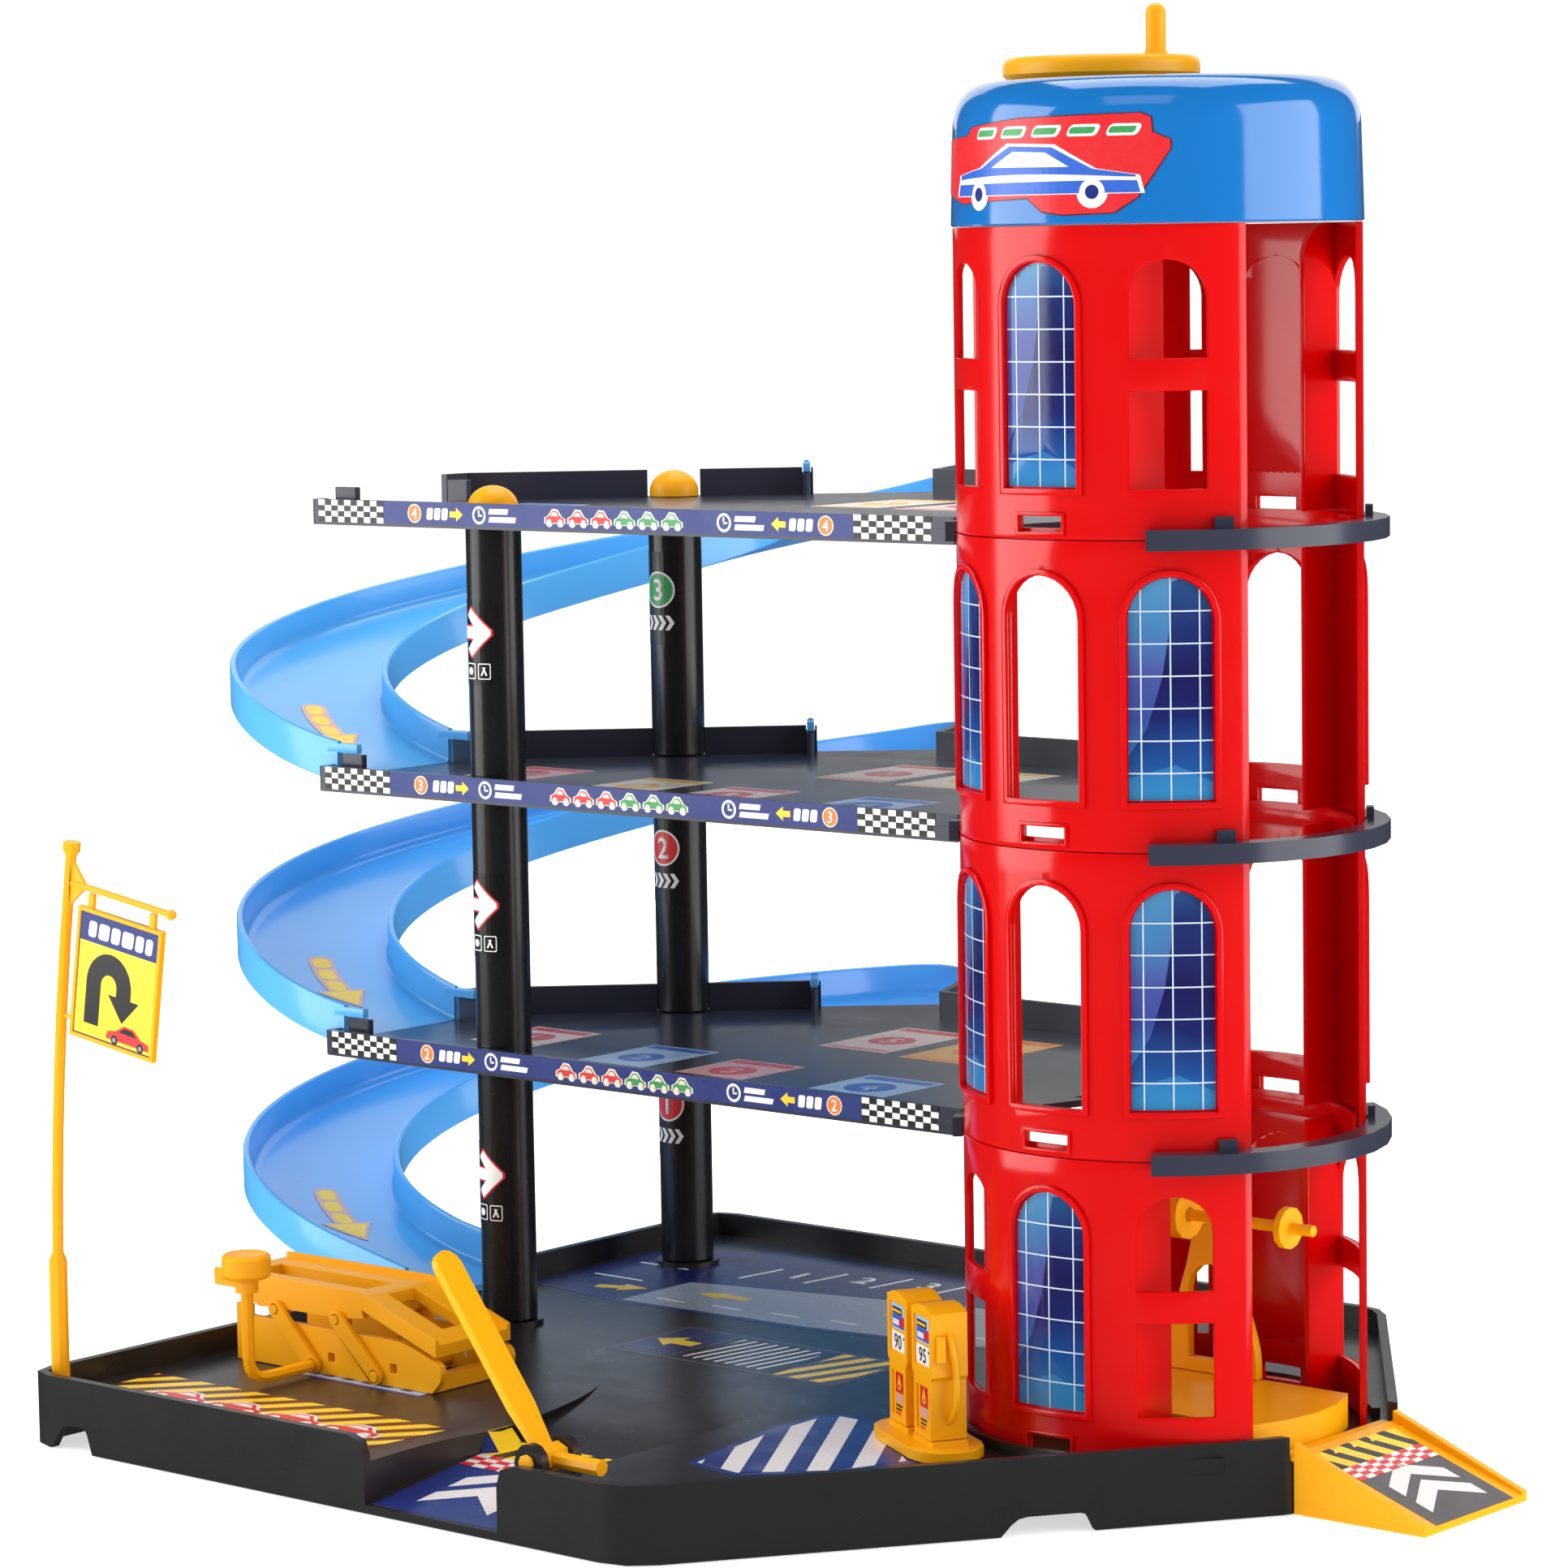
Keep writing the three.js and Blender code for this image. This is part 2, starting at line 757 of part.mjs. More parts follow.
// Decks
const deckCorners = [
  { x: deckLeft, y: deckFront, fillet: deckFillet },
  { x: towerX, y: deckFront },
  { x: deckSideX, y: deckSideY },
  { x: deckBackRight, y: deckBack, fillet: deckFillet },
  { x: deckBackLeft, y: deckBack },
  exitPoint(spiralOuter),
  exitPoint(spiralInner),
  { x: deckLeft, y: deckChamferY, fillet: deckFillet },
];

// A post or hook that runs from the exit's edge against the way down.
const alongExit = (radius, from, to, width, bottom, top) => {
  const start = exitPoint(radius).addScaledVector(leadDirection, from);
  const end = exitPoint(radius).addScaledVector(leadDirection, to);
  return plate(bar(start, end, width), bottom, top);
};
const rampWallRadii = [spiralInner + spiralWall / 2, spiralOuter - spiralWall / 2];

function makeDeck() {
  const inner = outline(inset(deckCorners, deckWall));
  const exitMargin = spiralWall + 2 * deckWall;
  const exitGap = bar(exitPoint(spiralInner + exitMargin), exitPoint(spiralOuter - exitMargin), 4 * deckWall);
  const landing = [spiralX + gap + slip, landingFront - gap, landingBack + gap + slip];
  const tall = storey / 2;
  const walled = cut(
    plate(outline(deckCorners), -fasciaDrop, guardRise),
    plate(inner, 0, guardRise + overrun),
    plate(inner, -fasciaDrop - overrun, -sheet),
    plate(exitGap, 0, guardRise + overrun),
    block(deckLeft - overrun, towerX, deckFront - overrun, landing[1], fasciaRise, guardRise + overrun),
  );
  const postStart = spiralX + slip + deckWall;
  const posts = [
    ...[landingFront + spiralWall / 2, landingBack - spiralWall / 2].map((y) =>
      plate(bar(at(postStart, y), at(spiralX + postLength, y), deckWall), -sheet, postRise),
    ),
    ...rampWallRadii.map((radius) =>
      alongExit(radius, -deckWall, -postLength, deckWall, -sheet, postRise),
    ),
  ];
  const hookRooms = rampWallRadii.map((radius) =>
    alongExit(radius, 0, -hookLength - gap, spiralWall + 2 * slip, postRise, guardRise + overrun),
  );
  const bosses = columnPlaces.map(([x, y]) =>
    standing(columnRadius + collarWidth, x, y, -sheet, 0),
  );
  const columnRooms = columnPlaces.flatMap(([x, y]) => [
    standing(columnRadius + slip, x, y, -tall, -sheet),
    standing(columnRadius + slip, x, y, 0, tall),
    standing(spigotRadius + slip, x, y, -tall, tall),
  ]);
  const towerRoom = standing(
    towerRadius + frameRise + towerClearance,
    towerX,
    towerY,
    -tall,
    tall,
    fineSteps,
  );
  const notch = block(deckLeft - overrun, ...landing, -tall, tall);
  const body = cut(join(walled, posts, bosses), towerRoom, notch, hookRooms, columnRooms);

  const tongueHalf = towerRadius * Math.sin(doorwayAngle * degree) - tongueInset;
  const tongueStart = towerX - towerRadius - frameRise - 4 * towerClearance;
  const tongue = block(tongueStart, towerX, towerY - tongueHalf, towerY + tongueHalf, -sheet, 0);
  const liftRoom = standing(liftRadius + runningGap, towerX, towerY, -tall, tall, fineSteps);
  const clipInner = towerRadius + 2 * gap;
  const clipOuter = towerRadius + frameRise + towerClearance + deckWall / 2;
  const clip = ringPiece(clipInner, clipOuter, -clipStartAngle, -clipEndAngle, -clipHalfHeight, clipHalfHeight);
  return join(body, cut(tongue, liftRoom), moved(clip, towerX, towerY, 0));
}

// Spiral ramps
function makeSpiral(drop, runOut) {
  const width = spiralOuter - spiralInner;
  const curve = (spiralEnd - spiralStart) * degree * ((spiralInner + spiralOuter) / 2);
  const total = spiralLead + curve + runOut;
  const face = [
    [0, -sheet],
    [width, -sheet],
    [width, spiralWallRise],
    [width - spiralWall, spiralWallRise],
    [width - spiralWall, spiralFillet],
    [width - spiralWall - spiralFillet, 0],
    [spiralWall, 0],
    [spiralWall, spiralWallRise],
    [0, spiralWallRise],
  ].map(([u, v]) => new THREE.Vector2(u, v));
  const easing = (t) => THREE.MathUtils.smoothstep(Math.min(t, 1 - t), 0, spiralEasing);
  const section = (travelled, place) => {
    const t = travelled / total;
    const bank = (spiralBank * easing(t)) / width;
    return face.map((p) => {
      const point = place(spiralInner + p.x);
      point.z = p.y + bank * p.x - drop * t;
      return point;
    });
  };
  const sections = [
    section(0, (radius) => exitPoint(radius).addScaledVector(leadDirection, gap)),
    section(spiralLead / 2, (radius) => exitPoint(radius).addScaledVector(leadDirection, spiralLead / 2)),
  ];
  const steps = Math.round((spiralEnd - spiralStart) / spiralStep);
  for (let i = 0; i <= steps; i++) {
    const angle = THREE.MathUtils.lerp(spiralStart, spiralEnd, i / steps);
    sections.push(section(spiralLead + (curve * i) / steps, (radius) => spiralPoint(angle, radius)));
  }
  if (runOut > 0) {
    sections.push(section(total, (radius) => spiralPoint(spiralEnd, radius).add(at(runOut, 0))));
  }
  return join(lofted(sections, face), spiralHooks(drop, runOut));
}

// Tabs on the ends of the ramp's walls that rest on the deck's posts.
function spiralHooks(drop, runOut) {
  const bottom = postRise + gap;
  const top = spiralWallRise - spiralWall / 3;
  const upper = rampWallRadii.map((radius) =>
    alongExit(radius, hookLength / 2, -hookLength, spiralWall, bottom, top),
  );
  if (runOut > 0) return upper;
  const lower = rampWallRadii.map((radius) => {
    const end = spiralPoint(spiralEnd, radius);
    const shape = bar(end.clone().add(at(-hookLength / 2, 0)), end.clone().add(at(hookLength, 0)), spiralWall);
    return plate(shape, bottom - drop, top - drop);
  });
  return [...upper, ...lower];
}

// Tower
function arch(width, sill, top, margin = 0) {
  const half = width / 2;
  const shape = new THREE.Shape();
  shape.moveTo(-half - margin, sill - margin);
  shape.lineTo(half + margin, sill - margin);
  shape.lineTo(half + margin, top - half);
  shape.absarc(0, top - half, half + margin, 0, Math.PI);
  shape.closePath();
  return shape;
}

function pane(width, sill, top) {
  return outline([
    { x: -width / 2, y: sill },
    { x: width / 2, y: sill },
    { x: width / 2, y: top },
    { x: -width / 2, y: top },
  ]);
}

// An outline pushed outwards through the wall at an angle round the tower.
function throughWall(shape, angle, inner, outer) {
  const geometry = new THREE.ExtrudeGeometry(shape, {
    depth: outer - inner,
    bevelEnabled: false,
    curveSegments: archSteps,
  });
  const out = at(Math.cos(angle * degree), Math.sin(angle * degree));
  const turn = new THREE.Matrix4().makeBasis(at(-out.y, out.x), at(0, 0, 1), out);
  return solid(geometry.translate(0, 0, inner).applyMatrix4(turn));
}

function makeShell(side, split, lip) {
  const from = side > 0 ? doorwayAngle : doorwayAngle - 180;
  const to = side > 0 ? 180 - doorwayAngle : -doorwayAngle;
  const height = storey - gap;
  let shell = ringPiece(innerRadius, towerRadius, from, to, 0, height);
  const proud = ringPiece(towerRadius - frameRise, towerRadius + frameRise, from, to, 0, height);
  const inner = innerRadius - overrun;
  const outer = towerRadius + frameRise + overrun;
  const deep = innerRadius - 2 * sheet;
  const frames = [];
  const holes = [];
  const opening = (angle, make, ...sizes) => {
    holes.push(throughWall(make(...sizes), side * angle, deep, outer));
  };
  const framedArch = (angle, depth) => {
    frames.push(throughWall(arch(archWidth, archSill, archTop, frameWidth), side * angle, inner, outer));
    holes.push(throughWall(arch(archWidth, archSill, archTop), side * angle, depth, outer));
  };
  const panel = (towerRadius - panelRecess) * Math.cos(Math.asin(archWidth / 2 / towerRadius));
  if (split) {
    for (const angle of [nearWindowAngle, farWindowAngle]) {
      opening(angle, arch, splitWidth, splitArchSill, archTop);
      opening(angle, pane, splitWidth, splitSill, splitRail);
    }
    framedArch(midWindowAngle, panel);
  } else {
    framedArch(nearWindowAngle, panel);
    framedArch(farWindowAngle, panel);
    framedArch(midWindowAngle, deep);
  }
  opening(midWindowAngle, pane, slotWidth, slotSill, slotSill + slotHeight);
  shell = cut(join(shell, join(frames).intersect(proud)), holes);
  shell = join(shell, makeFins(side, height, lip ? 0 : finFlareRadius));
  if (!lip) return shell;
  const lipOuter = innerRadius - slip;
  const lipInner = lipOuter - lipWidth;
  const start = from + 2 * balconyTabAngle;
  const end = to - 2 * balconyTabAngle;
  const upper = ringPiece(lipInner, lipOuter, start, end, height - lipRise, height + lipRise);
  const root = ringPiece(lipInner, innerRadius + lipWidth / 2, start, end, height - lipRise, height);
  return join(shell, upper, root);
}

// Upright fins that guide the lift, square to the front.
function makeFins(side, top, flare) {
  const root = innerRadius * Math.cos(Math.asin(finX / innerRadius)) + sheet / 2;
  const foot = lipRise + 2 * gap;
  const fin = outline([
    { x: side * finReach, y: foot },
    { x: side * root, y: foot },
    { x: side * root, y: top },
    { x: side * finReach, y: top, fillet: Math.min(flare, root - finReach) },
  ]);
  return [-1, 1].map((end) => {
    const x = end * finX;
    return slabAlongX(fin, x - finThickness / 2, x + finThickness / 2, archSteps);
  });
}

function makeBalcony() {
  const inner = towerRadius + 2 * gap;
  const outer = towerRadius + balconyReach;
  const band = ringPiece(inner, outer, -balconyAngle, balconyAngle, 0, balconyHeight);
  const tabs = [1, -1].map((side) => {
    const edge = side * (doorwayAngle + balconyTabAngle);
    const far = edge + side * balconyTabAngle;
    return ringPiece(
      inner,
      inner + sheet,
      Math.min(edge, far),
      Math.max(edge, far),
      0,
      balconyHeight + balconyTabHeight,
    );
  });
  return join(band, tabs);
}

// Cap, winch and crank
const plateBottom = gap;
const plateTop = plateBottom + plateThickness;
const drumBase = plateTop + drumFoot;
const crankDiscBase = capHeight + crankFloat;

function capProfile(offset, foot) {
  const side = new THREE.Path();
  const radius = capRadius - offset;
  const top = capHeight - offset;
  side.moveTo(radius, foot);
  side.lineTo(radius - capTaper, top - capShoulder);
  side.quadraticCurveTo(radius - capTaper, top, radius - capTaper - capShoulder, top);
  return side.getPoints(archSteps).map((p) => [p.x, p.y]);
}

function makeCap() {
  const shell = turned([[0, gap], ...capProfile(0, gap), [0, capHeight]], 0, 0, fineSteps);
  const inside = turned(
    [[0, -overrun], ...capProfile(sheet, -overrun), [0, capHeight - sheet]],
    0,
    0,
    fineSteps,
  );
  const offset = crankX - towerX;
  const collar = rod(
    shaftRadius + collarWidth + slip,
    at(offset, 0, capHeight - 2 * sheet),
    at(offset, 0, capHeight + crankFloat - gap),
    roundSteps,
  );
  const bore = rod(
    shaftRadius + slip,
    at(offset, 0, 0),
    at(offset, 0, capHeight + crankFloat + overrun),
    roundSteps,
  );
  return cut(join(cut(shell, inside), collar), bore);
}

function makeWinchPlate() {
  const radius = capRadius - sheet - gap;
  const offset = crankX - towerX;
  const disc = turned(
    [
      [0, plateBottom],
      [radius, plateBottom],
      [radius, plateTop],
      [0, plateTop],
    ],
    0,
    0,
    fineSteps,
  );
  const boss = rod(
    shaftRadius + plateBossWidth,
    at(offset, 0, plateBottom),
    at(offset, 0, plateTop + plateBossHeight),
    roundSteps,
  );
  const well = rod(
    shaftRadius + slip,
    at(offset, 0, plateTop),
    at(offset, 0, plateTop + 2 * plateBossHeight),
    roundSteps,
  );
  const eye = rod(eyeletRadius + plateBossWidth / 2, at(0, 0, plateBottom), at(0, 0, plateTop + sheet));
  const eyeHole = rod(eyeletRadius, at(0, 0, -overrun), at(0, 0, plateTop + 2 * sheet));
  return cut(join(disc, boss, eye), well, eyeHole);
}

function makeDrum() {
  const low = drumBase;
  const high = low + drumLength;
  return turned([
    [0, plateTop + gap],
    [shaftRadius, plateTop + gap],
    [shaftRadius, low - drumRim],
    [drumRadius + drumFlange, low - drumRim],
    [drumRadius + drumFlange, low],
    [drumRadius, low],
    [drumRadius, high],
    [drumRadius + drumFlange, high],
    [drumRadius + drumFlange, high + drumRim],
    [shaftRadius, high + drumRim],
    [shaftRadius, crankDiscBase - gap],
    [0, crankDiscBase - gap],
  ]);
}

function makeCrank() {
  const top = crankDiscBase + crankDiscHeight;
  const edge = new THREE.Path();
  edge.moveTo(crankDiscRadius - crankEdge / 2, crankDiscBase);
  edge.lineTo(crankDiscRadius, crankDiscBase + crankEdge / 2);
  edge.lineTo(crankDiscRadius, top - crankEdge);
  edge.quadraticCurveTo(crankDiscRadius, top, crankDiscRadius - crankEdge, top);
  const profile = edge.getPoints(filletSteps).map((p) => [p.x, p.y]);
  const disc = turned([[0, crankDiscBase], ...profile, [0, top]], 0, 0, fineSteps);
  const tip = top + pegHeight - pegRadius;
  const peg = join(
    rod(pegRadius, at(pegThrow, 0, top - overrun), at(pegThrow, 0, tip), roundSteps / 2),
    ball(pegRadius, at(pegThrow, 0, tip), roundSteps / 2),
  );
  return join(disc, peg);
}

// Lift
const liftDisc = (radius, bottom, top) =>
  turned(
    [
      [0, bottom],
      [radius, bottom],
      [radius, top],
      [0, top],
    ],
    0,
    0,
    fineSteps,
  );

function makePlatform() {
  const bottom = trayFloor + gap;
  const under = liftTop - liftThickness;
  const clip = block(-liftRadius, liftRadius, -liftHalfWidth, liftHalfWidth, bottom, liftTop);
  const floor = liftDisc(liftRadius, under, liftTop).intersect(clip);
  const inner = block(
    -liftRadius,
    liftRadius,
    -liftHalfWidth + ribThickness,
    liftHalfWidth - ribThickness,
    bottom - overrun,
    under,
  );
  const skirt = cut(
    liftDisc(liftRadius, bottom, under + overrun).intersect(clip),
    liftDisc(liftRadius - ribThickness, bottom - overrun, under).intersect(inner),
  );
  const inside = liftHalfWidth - ribThickness / 2;
  const ribs = [];
  for (let x = -ribPitch * 4; x <= ribPitch * 4; x += 2 * ribPitch) {
    ribs.push(
      block(x - ribThickness / 2, x + ribThickness / 2, -inside, inside, bottom, under),
    );
  }
  const stops = [1, -1].map((side) => {
    const y = side * (liftHalfWidth - stopThickness / 2);
    const x = -liftRadius + stopLength * 1.5;
    return block(
      x,
      x + stopLength,
      y - stopThickness / 2,
      y + stopThickness / 2,
      liftTop - overrun,
      liftTop + stopHeight,
    );
  });
  return join(floor, skirt, ribs, stops);
}

function makeHanger() {
  const foot = liftTop + gap;
  const head = spindleHeight + beamHeight / 2;
  const cheek = outline([
    { x: -cheekFoot / 2, y: foot },
    { x: cheekFoot / 2, y: foot },
    { x: cheekFoot / 2, y: foot + stopHeight, fillet: stopHeight / 2 },
    { x: cheekHead / 2, y: spindleHeight - cheekHead, fillet: stopHeight },
    { x: cheekHead / 2, y: head, fillet: cheekHead / 3 },
    { x: -cheekHead / 2, y: head, fillet: cheekHead / 3 },
    { x: -cheekHead / 2, y: spindleHeight - cheekHead, fillet: stopHeight },
    { x: -cheekFoot / 2, y: foot + stopHeight, fillet: stopHeight / 2 },
  ]);
  const opening = arch(cheekFoot / 2, foot + stopHeight / 2, spindleHeight - cheekHead - bridgeHeight);
  const cheeks = [1, -1].map((side) => {
    const y = side * (liftHalfWidth - cheekThickness / 2);
    const half = cheekThickness / 2;
    return cut(
      slabAlongY(cheek, y - half, y + half),
      slabAlongY(opening, y - half - overrun, y + half + overrun, archSteps),
    );
  });
  const beam = block(
    -beamWidth / 2,
    beamWidth / 2,
    -liftHalfWidth + overrun,
    liftHalfWidth - overrun,
    spindleHeight - beamHeight / 2,
    spindleHeight + beamHeight / 2,
  );
  const hub = rod(hubRadius, at(-hubLength / 2, 0, spindleHeight), at(hubLength / 2, 0, spindleHeight), roundSteps);
  const bore = rod(spindleRadius + slip, at(-hubLength, 0, spindleHeight), at(hubLength, 0, spindleHeight));
  return cut(join(cheeks, beam, hub), bore);
}

function makeSpindle() {
  const shaft = rod(
    spindleRadius,
    at(-spindleReach, 0, spindleHeight),
    at(spindleReach, 0, spindleHeight),
    smallSteps,
  );
  const discs = [1, -1].map((side) =>
    rod(
      discRadius,
      at(side * (discPlace - discThickness / 2), 0, spindleHeight),
      at(side * (discPlace + discThickness / 2), 0, spindleHeight),
      roundSteps,
    ),
  );
  return join(shaft, discs);
}

const stringFoot = spindleHeight + hubRadius + gap;

function makeString(top) {
  return join(
    rod(stringRadius, at(0, 0, stringFoot + knotRadius), at(0, 0, top), smallSteps / 2 + 1),
    ball(knotRadius, at(0, 0, stringFoot + knotRadius)),
  );
}

// The string's run in the cap: a turn on the drum, then over to the eyelet.
function makeFeed() {
  const wrap = drumRadius + stringRadius + gap;
  const offset = crankX - towerX;
  const lay = drumBase + drumLength / 2;
  const points = [];
  for (let i = 0; i <= roundSteps; i++) {
    const t = i / roundSteps;
    const angle = 2 * Math.PI * feedTurns * (t - 1) - Math.PI / 2;
    points.push(at(offset + wrap * Math.cos(angle), wrap * Math.sin(angle), lay - 3 * stringRadius * t));
  }
  for (const [u, v] of feedShares) {
    points.push(at(offset * u, -wrap * v, lay - 3 * stringRadius));
  }
  points.push(at(0, 0, plateTop + sheet + drumFoot / 2));
  points.push(at(0, 0, plateTop));
  return bentRod(stringRadius, new THREE.CatmullRomCurve3(points), 2 * roundSteps);
}

// Entry ramp
function makeEntry() {
  const side = (lift, under) => {
    const shape = new THREE.Shape();
    shape.moveTo(noseX + gap, under);
    shape.lineTo(noseX + entryLength, under);
    shape.lineTo(noseX + entryLength, entryTip + lift / 3);
    shape.lineTo(noseX + gap, entryRise + lift);
    shape.closePath();
    return shape;
  };
  const front = noseFront + entryInset;
  const back = noseBack - entryInset;
  const wedge = slabAlongY(side(0, 0), front, back);
  const hollow = new THREE.Shape();
  hollow.moveTo(noseX + gap + entrySheet, -overrun);
  hollow.lineTo(noseX + entryLength - 3 * entrySheet, -overrun);
  hollow.lineTo(noseX + gap + entrySheet, entryRise - 1.5 * entrySheet);
  hollow.closePath();
  const under = slabAlongY(hollow, front + entryRail, back - entryRail);
  const rails = [front, back - entryRail].map((y) => slabAlongY(side(entryRailRise, 0), y, y + entryRail));
  const tongue = block(
    noseX - entryTongue,
    noseX + 2 * entrySheet,
    front,
    back,
    trayFloor + gap,
    trayFloor + gap + entryTongueThickness,
  );
  const rib = block(
    noseX + entryLength / 3,
    noseX + entryLength / 3 + entrySheet,
    front + overrun,
    back - overrun,
    0,
    entryRise / 2,
  );
  return join(cut(wedge, under), rails, tongue, rib);
}

// Sign, drawn upright and then leant over
const leanFoot = trayFloor + signLeanStart;
const leanTop = signArmHeight - signArmRadius;
const leanBend = (leanTop - leanFoot) / (signLean * degree);

// Where a point of the sign goes, for a part that bends with the post or stays straight.
function leant(x, y, z, straight) {
  const angle = straight || z > leanTop ? signLean * degree : ((z - leanFoot) / leanBend);
  if (!straight && z <= leanFoot) return at(x, y, z);
  const past = straight || z > leanTop ? z - leanTop : 0;
  return at(
    leanBend * (1 - Math.cos(angle)) + past * Math.sin(angle) + x * Math.cos(angle),
    y,
    leanFoot + leanBend * Math.sin(angle) + past * Math.cos(angle) - x * Math.sin(angle),
  );
}

function leantOver(body, straight) {
  const mesh = body.getMesh();
  const points = [];
  for (let i = 0; i < mesh.vertProperties.length; i += mesh.numProp) {
    const [x, y, z] = mesh.vertProperties.slice(i, i + mesh.numProp);
    points.push(...leant(x, y, z, straight).toArray());
  }
  const geometry = new THREE.BufferGeometry();
  geometry.setAttribute("position", new THREE.Float32BufferAttribute(points, 3));
  geometry.setIndex(new THREE.BufferAttribute(mesh.triVerts.slice(), 1));
  return solid(geometry);
}

function makeSignPost() {
  const foot = trayFloor + gap;
  const profile = [
    [0, foot],
    [signFootRadius, foot],
    [signFootRadius, leanFoot],
    [signFootRadius, trayFloor + signFootHeight],
  ];
  const neck = trayFloor + signFootHeight + signFootRadius;
  for (let i = 0; i <= signSteps; i++) {
    profile.push([signPostRadius, THREE.MathUtils.lerp(neck, leanTop, i / signSteps)]);
  }
  profile.push([signPostRadius, signPostTop], [signKnobRadius, signPostTop + signKnobHeight / 3]);
  profile.push([signKnobRadius, signPostTop + signKnobHeight], [0, signPostTop + signKnobHeight]);
  const post = turned(profile, 0, 0, smallSteps);
  const arm = rod(signArmRadius, at(0, 0, signArmHeight), at(signArmLength, 0, signArmHeight));
  const gussets = [1, -1].map((side) => {
    const shape = outline([
      { x: 0, y: signArmHeight },
      { x: 0, y: signArmHeight + side * signGusset },
      { x: signGusset, y: signArmHeight },
    ]);
    return slabAlongY(shape, -signArmRadius / 2, signArmRadius / 2);
  });
  const pegZ = signArmHeight - signPanelDrop - signPanelHeight + signPegHeight;
  const drift = leant(0, 0, pegZ, false).x - leant(0, 0, pegZ, true).x;
  const peg = rod(signPegRadius, at(0, 0, pegZ), at(signPanelStart - gap - drift, 0, pegZ));
  const ending = ball(signBallRadius, at(signArmLength, 0, signArmHeight));
  return leantOver(join(post, arm, ending, gussets, peg), false);
}

function makeSignPanel() {
  const half = signPanelThickness / 2;
  const left = signPanelStart;
  const right = left + signPanelWidth;
  const top = signArmHeight - signPanelDrop;
  const bottom = top - signPanelHeight;
  const panel = block(left, right, -half, half, bottom, top);
  const recesses = [1, -1].map((side) => {
    const near = side > 0 ? half - signRecess : -half - overrun;
    return block(
      left + signFrame,
      right - signFrame,
      near,
      near + signRecess + overrun,
      bottom + signFrame,
      top - signFrame,
    );
  });
  const straps = [left + signLinkInset, right - signLinkInset].map((x) =>
    block(
      x - signLinkWidth / 2,
      x + signLinkWidth / 2,
      -signLinkThickness / 2,
      signLinkThickness / 2,
      top - overrun / 2,
      signArmHeight - signArmRadius - gap,
    ),
  );
  return leantOver(join(cut(panel, recesses), straps), true);
}

// Barrier, drawn level and turned up at its place
function makeBarrierArm() {
  const half = barrierWidth / 2;
  const neck = barrierNeck / 2;
  const shape = new THREE.Shape();
  shape.moveTo(0, -neck);
  shape.lineTo(barrierLength / 4, -half);
  shape.lineTo(barrierLength - half, -half);
  shape.absarc(barrierLength - half, 0, half, -Math.PI / 2, Math.PI / 2);
  shape.lineTo(barrierLength / 4, half);
  shape.lineTo(0, neck);
  shape.closePath();
  const blade = plate(shape, -barrierThickness / 2, barrierThickness / 2, archSteps);
  const hub = rod(barrierHub, at(0, -half, 0), at(0, half, 0), roundSteps / 2);
  const tailEnd = at(Math.cos(barrierAngle * degree), 0, -Math.sin(barrierAngle * degree));
  const tail = rod(barrierThickness, at(0, 0, 0), tailEnd.multiplyScalar(barrierTail), smallSteps);
  const bore = rod(barrierPinRadius + slip, at(0, -barrierWidth, 0), at(0, barrierWidth, 0));
  return cut(join(blade, hub, tail), bore);
}

function makeBarrierPin() {
  const near = barrierNearY - barrierLug / 2 - gap;
  const far = barrierFarY + barrierLug / 2 + gap;
  return join(
    rod(barrierPinRadius, at(0, near - overrun, 0), at(0, far + pinHeadHeight, 0)),
    rod(pinHeadRadius, at(0, near - pinHeadHeight, 0), at(0, near, 0)),
  );
}

// Fuel pumps, drawn about the island's middle with their displays to the front
function makeIsland() {
  const reach = (islandLength - islandWidth) / 2;
  const base = plate(bar(at(-reach, 0), at(reach, 0), islandWidth), 0, islandHeight, archSteps);
  const plinths = [1, -1].map((side) => {
    const x = (side * pumpPitch) / 2;
    const half = pumpWidth / 2;
    const plinth = block(
      x - half,
      x + half,
      -pumpDepth / 2,
      pumpDepth / 2,
      islandHeight - overrun,
      islandHeight + islandPlinth,
    );
    const peg = rod(
      pumpPegRadius,
      at(x, 0, islandHeight),
      at(x, 0, islandHeight + islandPlinth + spigotGrip / 2),
      roundSteps / 2,
    );
    return join(plinth, peg);
  });
  return join(base, plinths);
}

